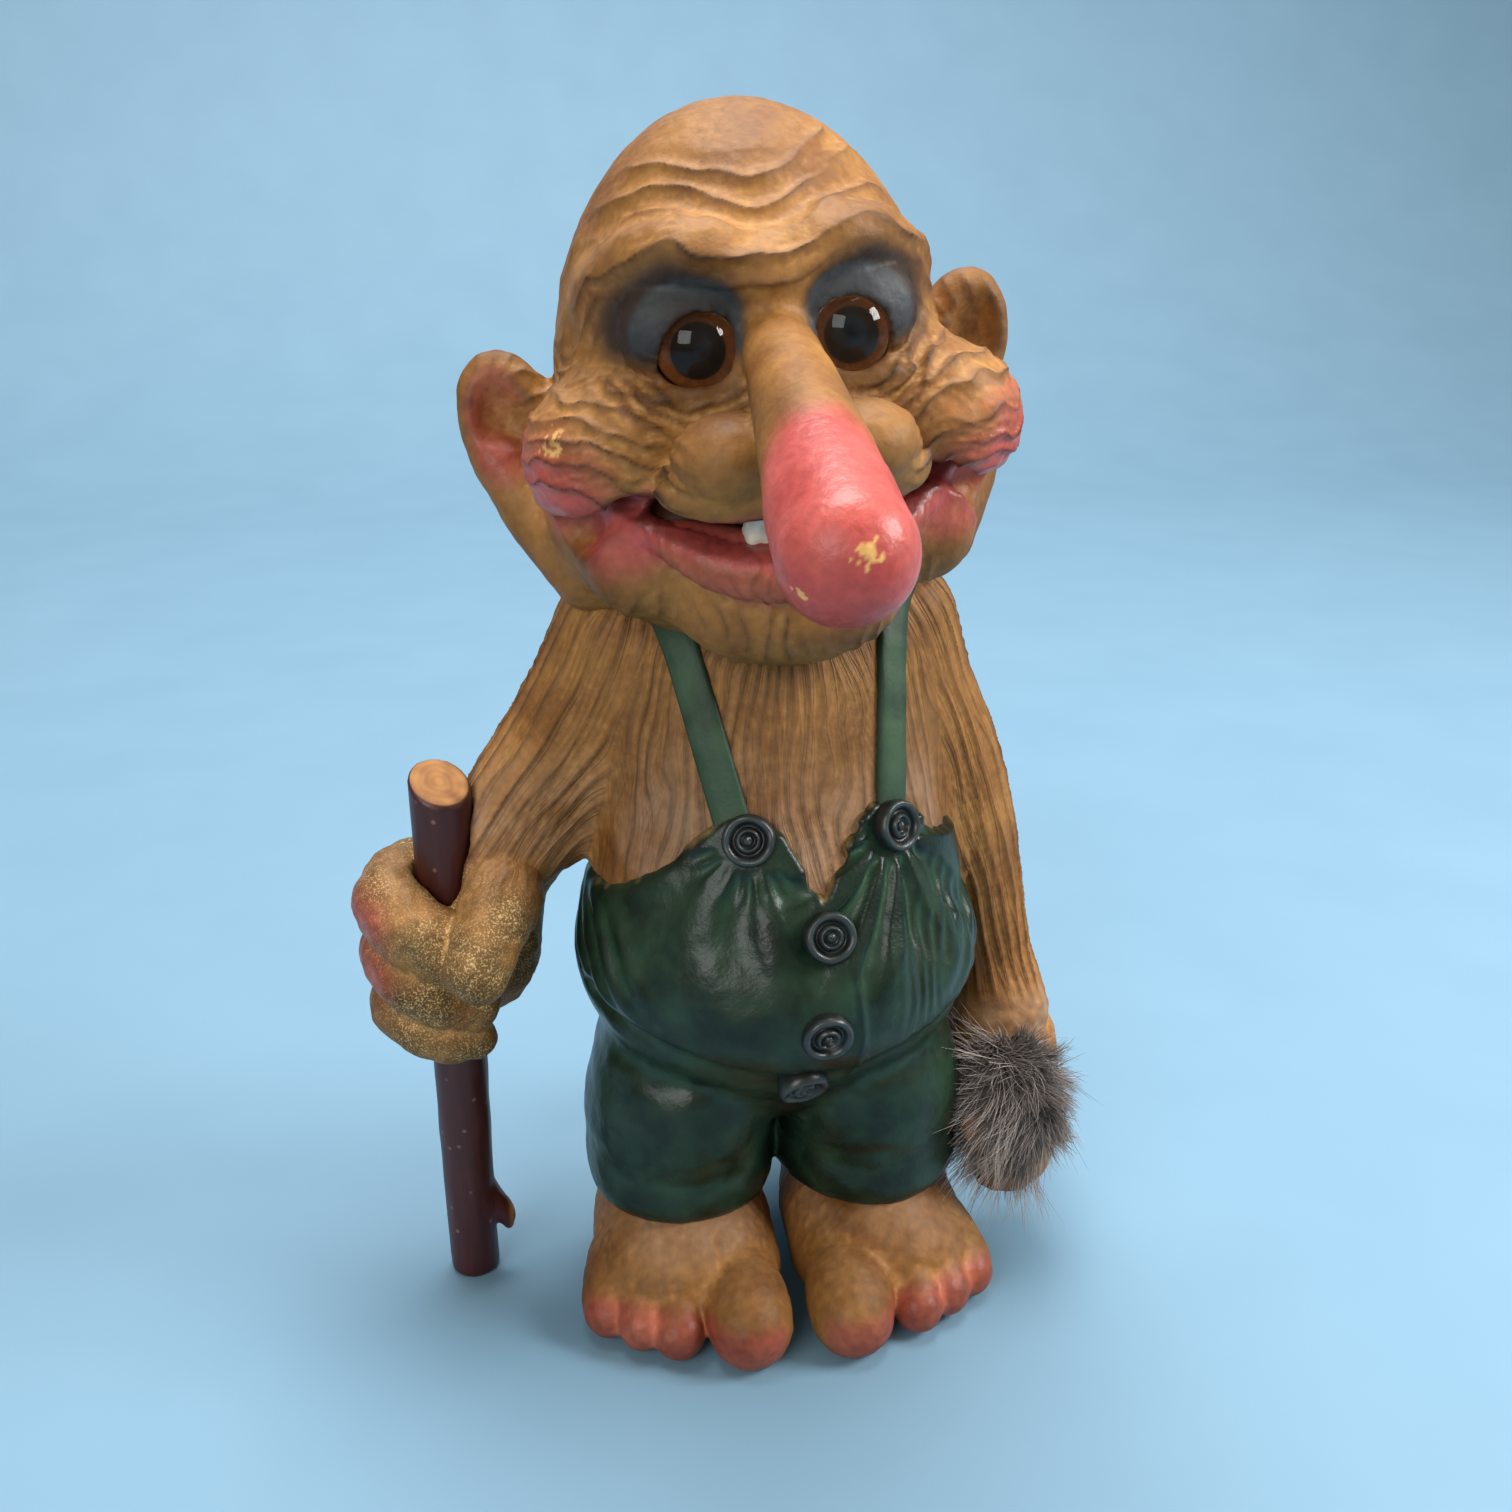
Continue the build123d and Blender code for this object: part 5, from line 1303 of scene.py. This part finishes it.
slope = math.radians(28.0)
turned = math.radians(25.0)
cut_way = [math.sin(slope) * math.sin(turned), -math.sin(slope) * math.cos(turned), math.cos(slope)]
cut_way = np.array(cut_way)
stick_x, stick_y = STICK_AXIS
stick_clay = Clay((stick_x - 10, stick_y - 10, -2), (stick_x + 17, stick_y + 10, 122), 0.4)
stick_clay.add(Limb(STICK_LINE, STICK_TAPER, 1))
stub = [(stick_x + 3, stick_y, 18), (stick_x + 6.8, stick_y - 0.5, 13.5), (stick_x + 7.8, stick_y - 1, 10.5)]
stick_clay.add(Limb(stub, [3.4, 2.4, 1.1]), 1.5)
gx, gy, gz = np.meshgrid(*stick_clay.axes, indexing="ij", sparse=True)
above = (gx - stick_x) * cut_way[0] + (gy - stick_y) * cut_way[1] + (gz - STICK_TOP) * cut_way[2]
stick_clay.keep(above, 0.6)
stick_clay.keep(-gz + 0.0 * gx + 0.0 * gy, 1.5)
points, faces = stick_clay.surface(2)
near_cut = (points - (*STICK_AXIS, STICK_TOP)) @ cut_way
is_cut = fade(near_cut, -0.7, -0.35)
bark_lift = 0.12 * grain(points, (2.0, 2.0, 9.0), 81) + 0.18 * grain(points, 9.0, 82) - 0.1
points = points + (bark_lift * (1 - is_cut))[:, None] * point_normals(points, faces)
points[:, 2] = np.maximum(points[:, 2], 0.0)
torn = fade(points[:, 0] - stick_x, 7.6, 9.0)
from_axis = np.hypot(points[:, 0] - stick_x, points[:, 1] - stick_y)
growth = 0.55 + 0.1 * np.sin(from_axis * 4.5 + 2.5 * grain(points, 3, 83)) + 0.6 * grain(points, 2.6, 84)
stick_masks = {"cut": np.clip(is_cut * (1 - fade(from_axis, 5.3, 5.8)) + 0.7 * torn, 0, 1), "rings": growth}
add_piece("walking_stick_twig", points, faces, bark, "stick", stick_masks, ["walking_stick"])

# %% [markdown]
# The eyes' wire shanks lie inside the head and keep their solids, with a drawn steel finish.

# %% Shanks
steel, tree, shader = new_material("drawn_steel_wire")
wire = mix_paint(tree, blotches(tree, 0.6), "#8c8c8a", "#b4b4b0")
set_inputs(tree, shader, {"Base Color": wire, "Metallic": 1.0, "Roughness": 0.35})
for name in ("right_eye_shank", "left_eye_shank"):
    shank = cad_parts[name]
    shank.data.materials.clear()
    shank.data.materials.append(steel)
print("shanks painted")

# %% [markdown]
# The floor is a plain pale blue sheet that curves up far behind the figure. Light is soft: a key panel
# high on the right, a larger, weaker one in front on the left, a faint one above, a bright one for the
# sheet behind, and an even pale sky.

# %% Floor and light
profile = [(-3.0, 0.0), (0.9, 0.0)]
profile += [(0.9 + 0.6 * math.sin(a), 0.6 - 0.6 * math.cos(a)) for a in np.linspace(0.1, math.pi / 2, 14)]
profile.append((1.5, 3.0))
corners = [(x, y, z) for y, z in profile for x in (-4.0, 4.0)]
strips = [(2 * i, 2 * i + 1, 2 * i + 3, 2 * i + 2) for i in range(len(profile) - 1)]
floor_mesh = bpy.data.meshes.new("floor")
floor_mesh.from_pydata(corners, [], strips)
floor_mesh.polygons.foreach_set("use_smooth", [True] * len(strips))
floor = bpy.data.objects.new("floor", floor_mesh)
bpy.context.scene.collection.objects.link(floor)
floor_paint, tree, shader = new_material("pale_card")
card = mix_paint(tree, blotches(tree, 60), "#698a9f", "#7192a7")
set_inputs(tree, shader, {"Base Color": card, "Roughness": 0.7})
floor_mesh.materials.append(floor_paint)
floor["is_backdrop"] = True


def add_panel(name, place, aim, size, power):
    """A square light panel turned towards a point."""
    data = bpy.data.lights.new(name, "AREA")
    data.size = size
    data.energy = power
    panel = bpy.data.objects.new(name, data)
    panel.location = place
    panel.rotation_euler = (Vector(aim) - Vector(place)).to_track_quat("-Z", "Y").to_euler()
    bpy.context.scene.collection.objects.link(panel)


add_panel("key_panel", (0.75, -0.22, 0.62), (0, 0, 0.14), 0.35, 9.5)
add_panel("fill_panel", (-0.6, -0.8, 0.6), (0, 0, 0.14), 0.6, 6.5)
add_panel("top_panel", (0.1, 0.1, 0.95), (0, 0, 0.1), 0.5, 2.0)
add_panel("back_panel", (0.0, 0.5, 1.9), (0, 1.2, 0.4), 1.2, 56.0)
sky = bpy.data.worlds.new("sky")
sky.use_nodes = True
sky.node_tree.nodes["Background"].inputs["Color"].default_value = paint("#efe5d3")
sky.node_tree.nodes["Background"].inputs["Strength"].default_value = 0.4
bpy.context.scene.world = sky

# %% Sizes and finish
bpy.context.scene.view_settings.view_transform = "Standard"
low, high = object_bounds()
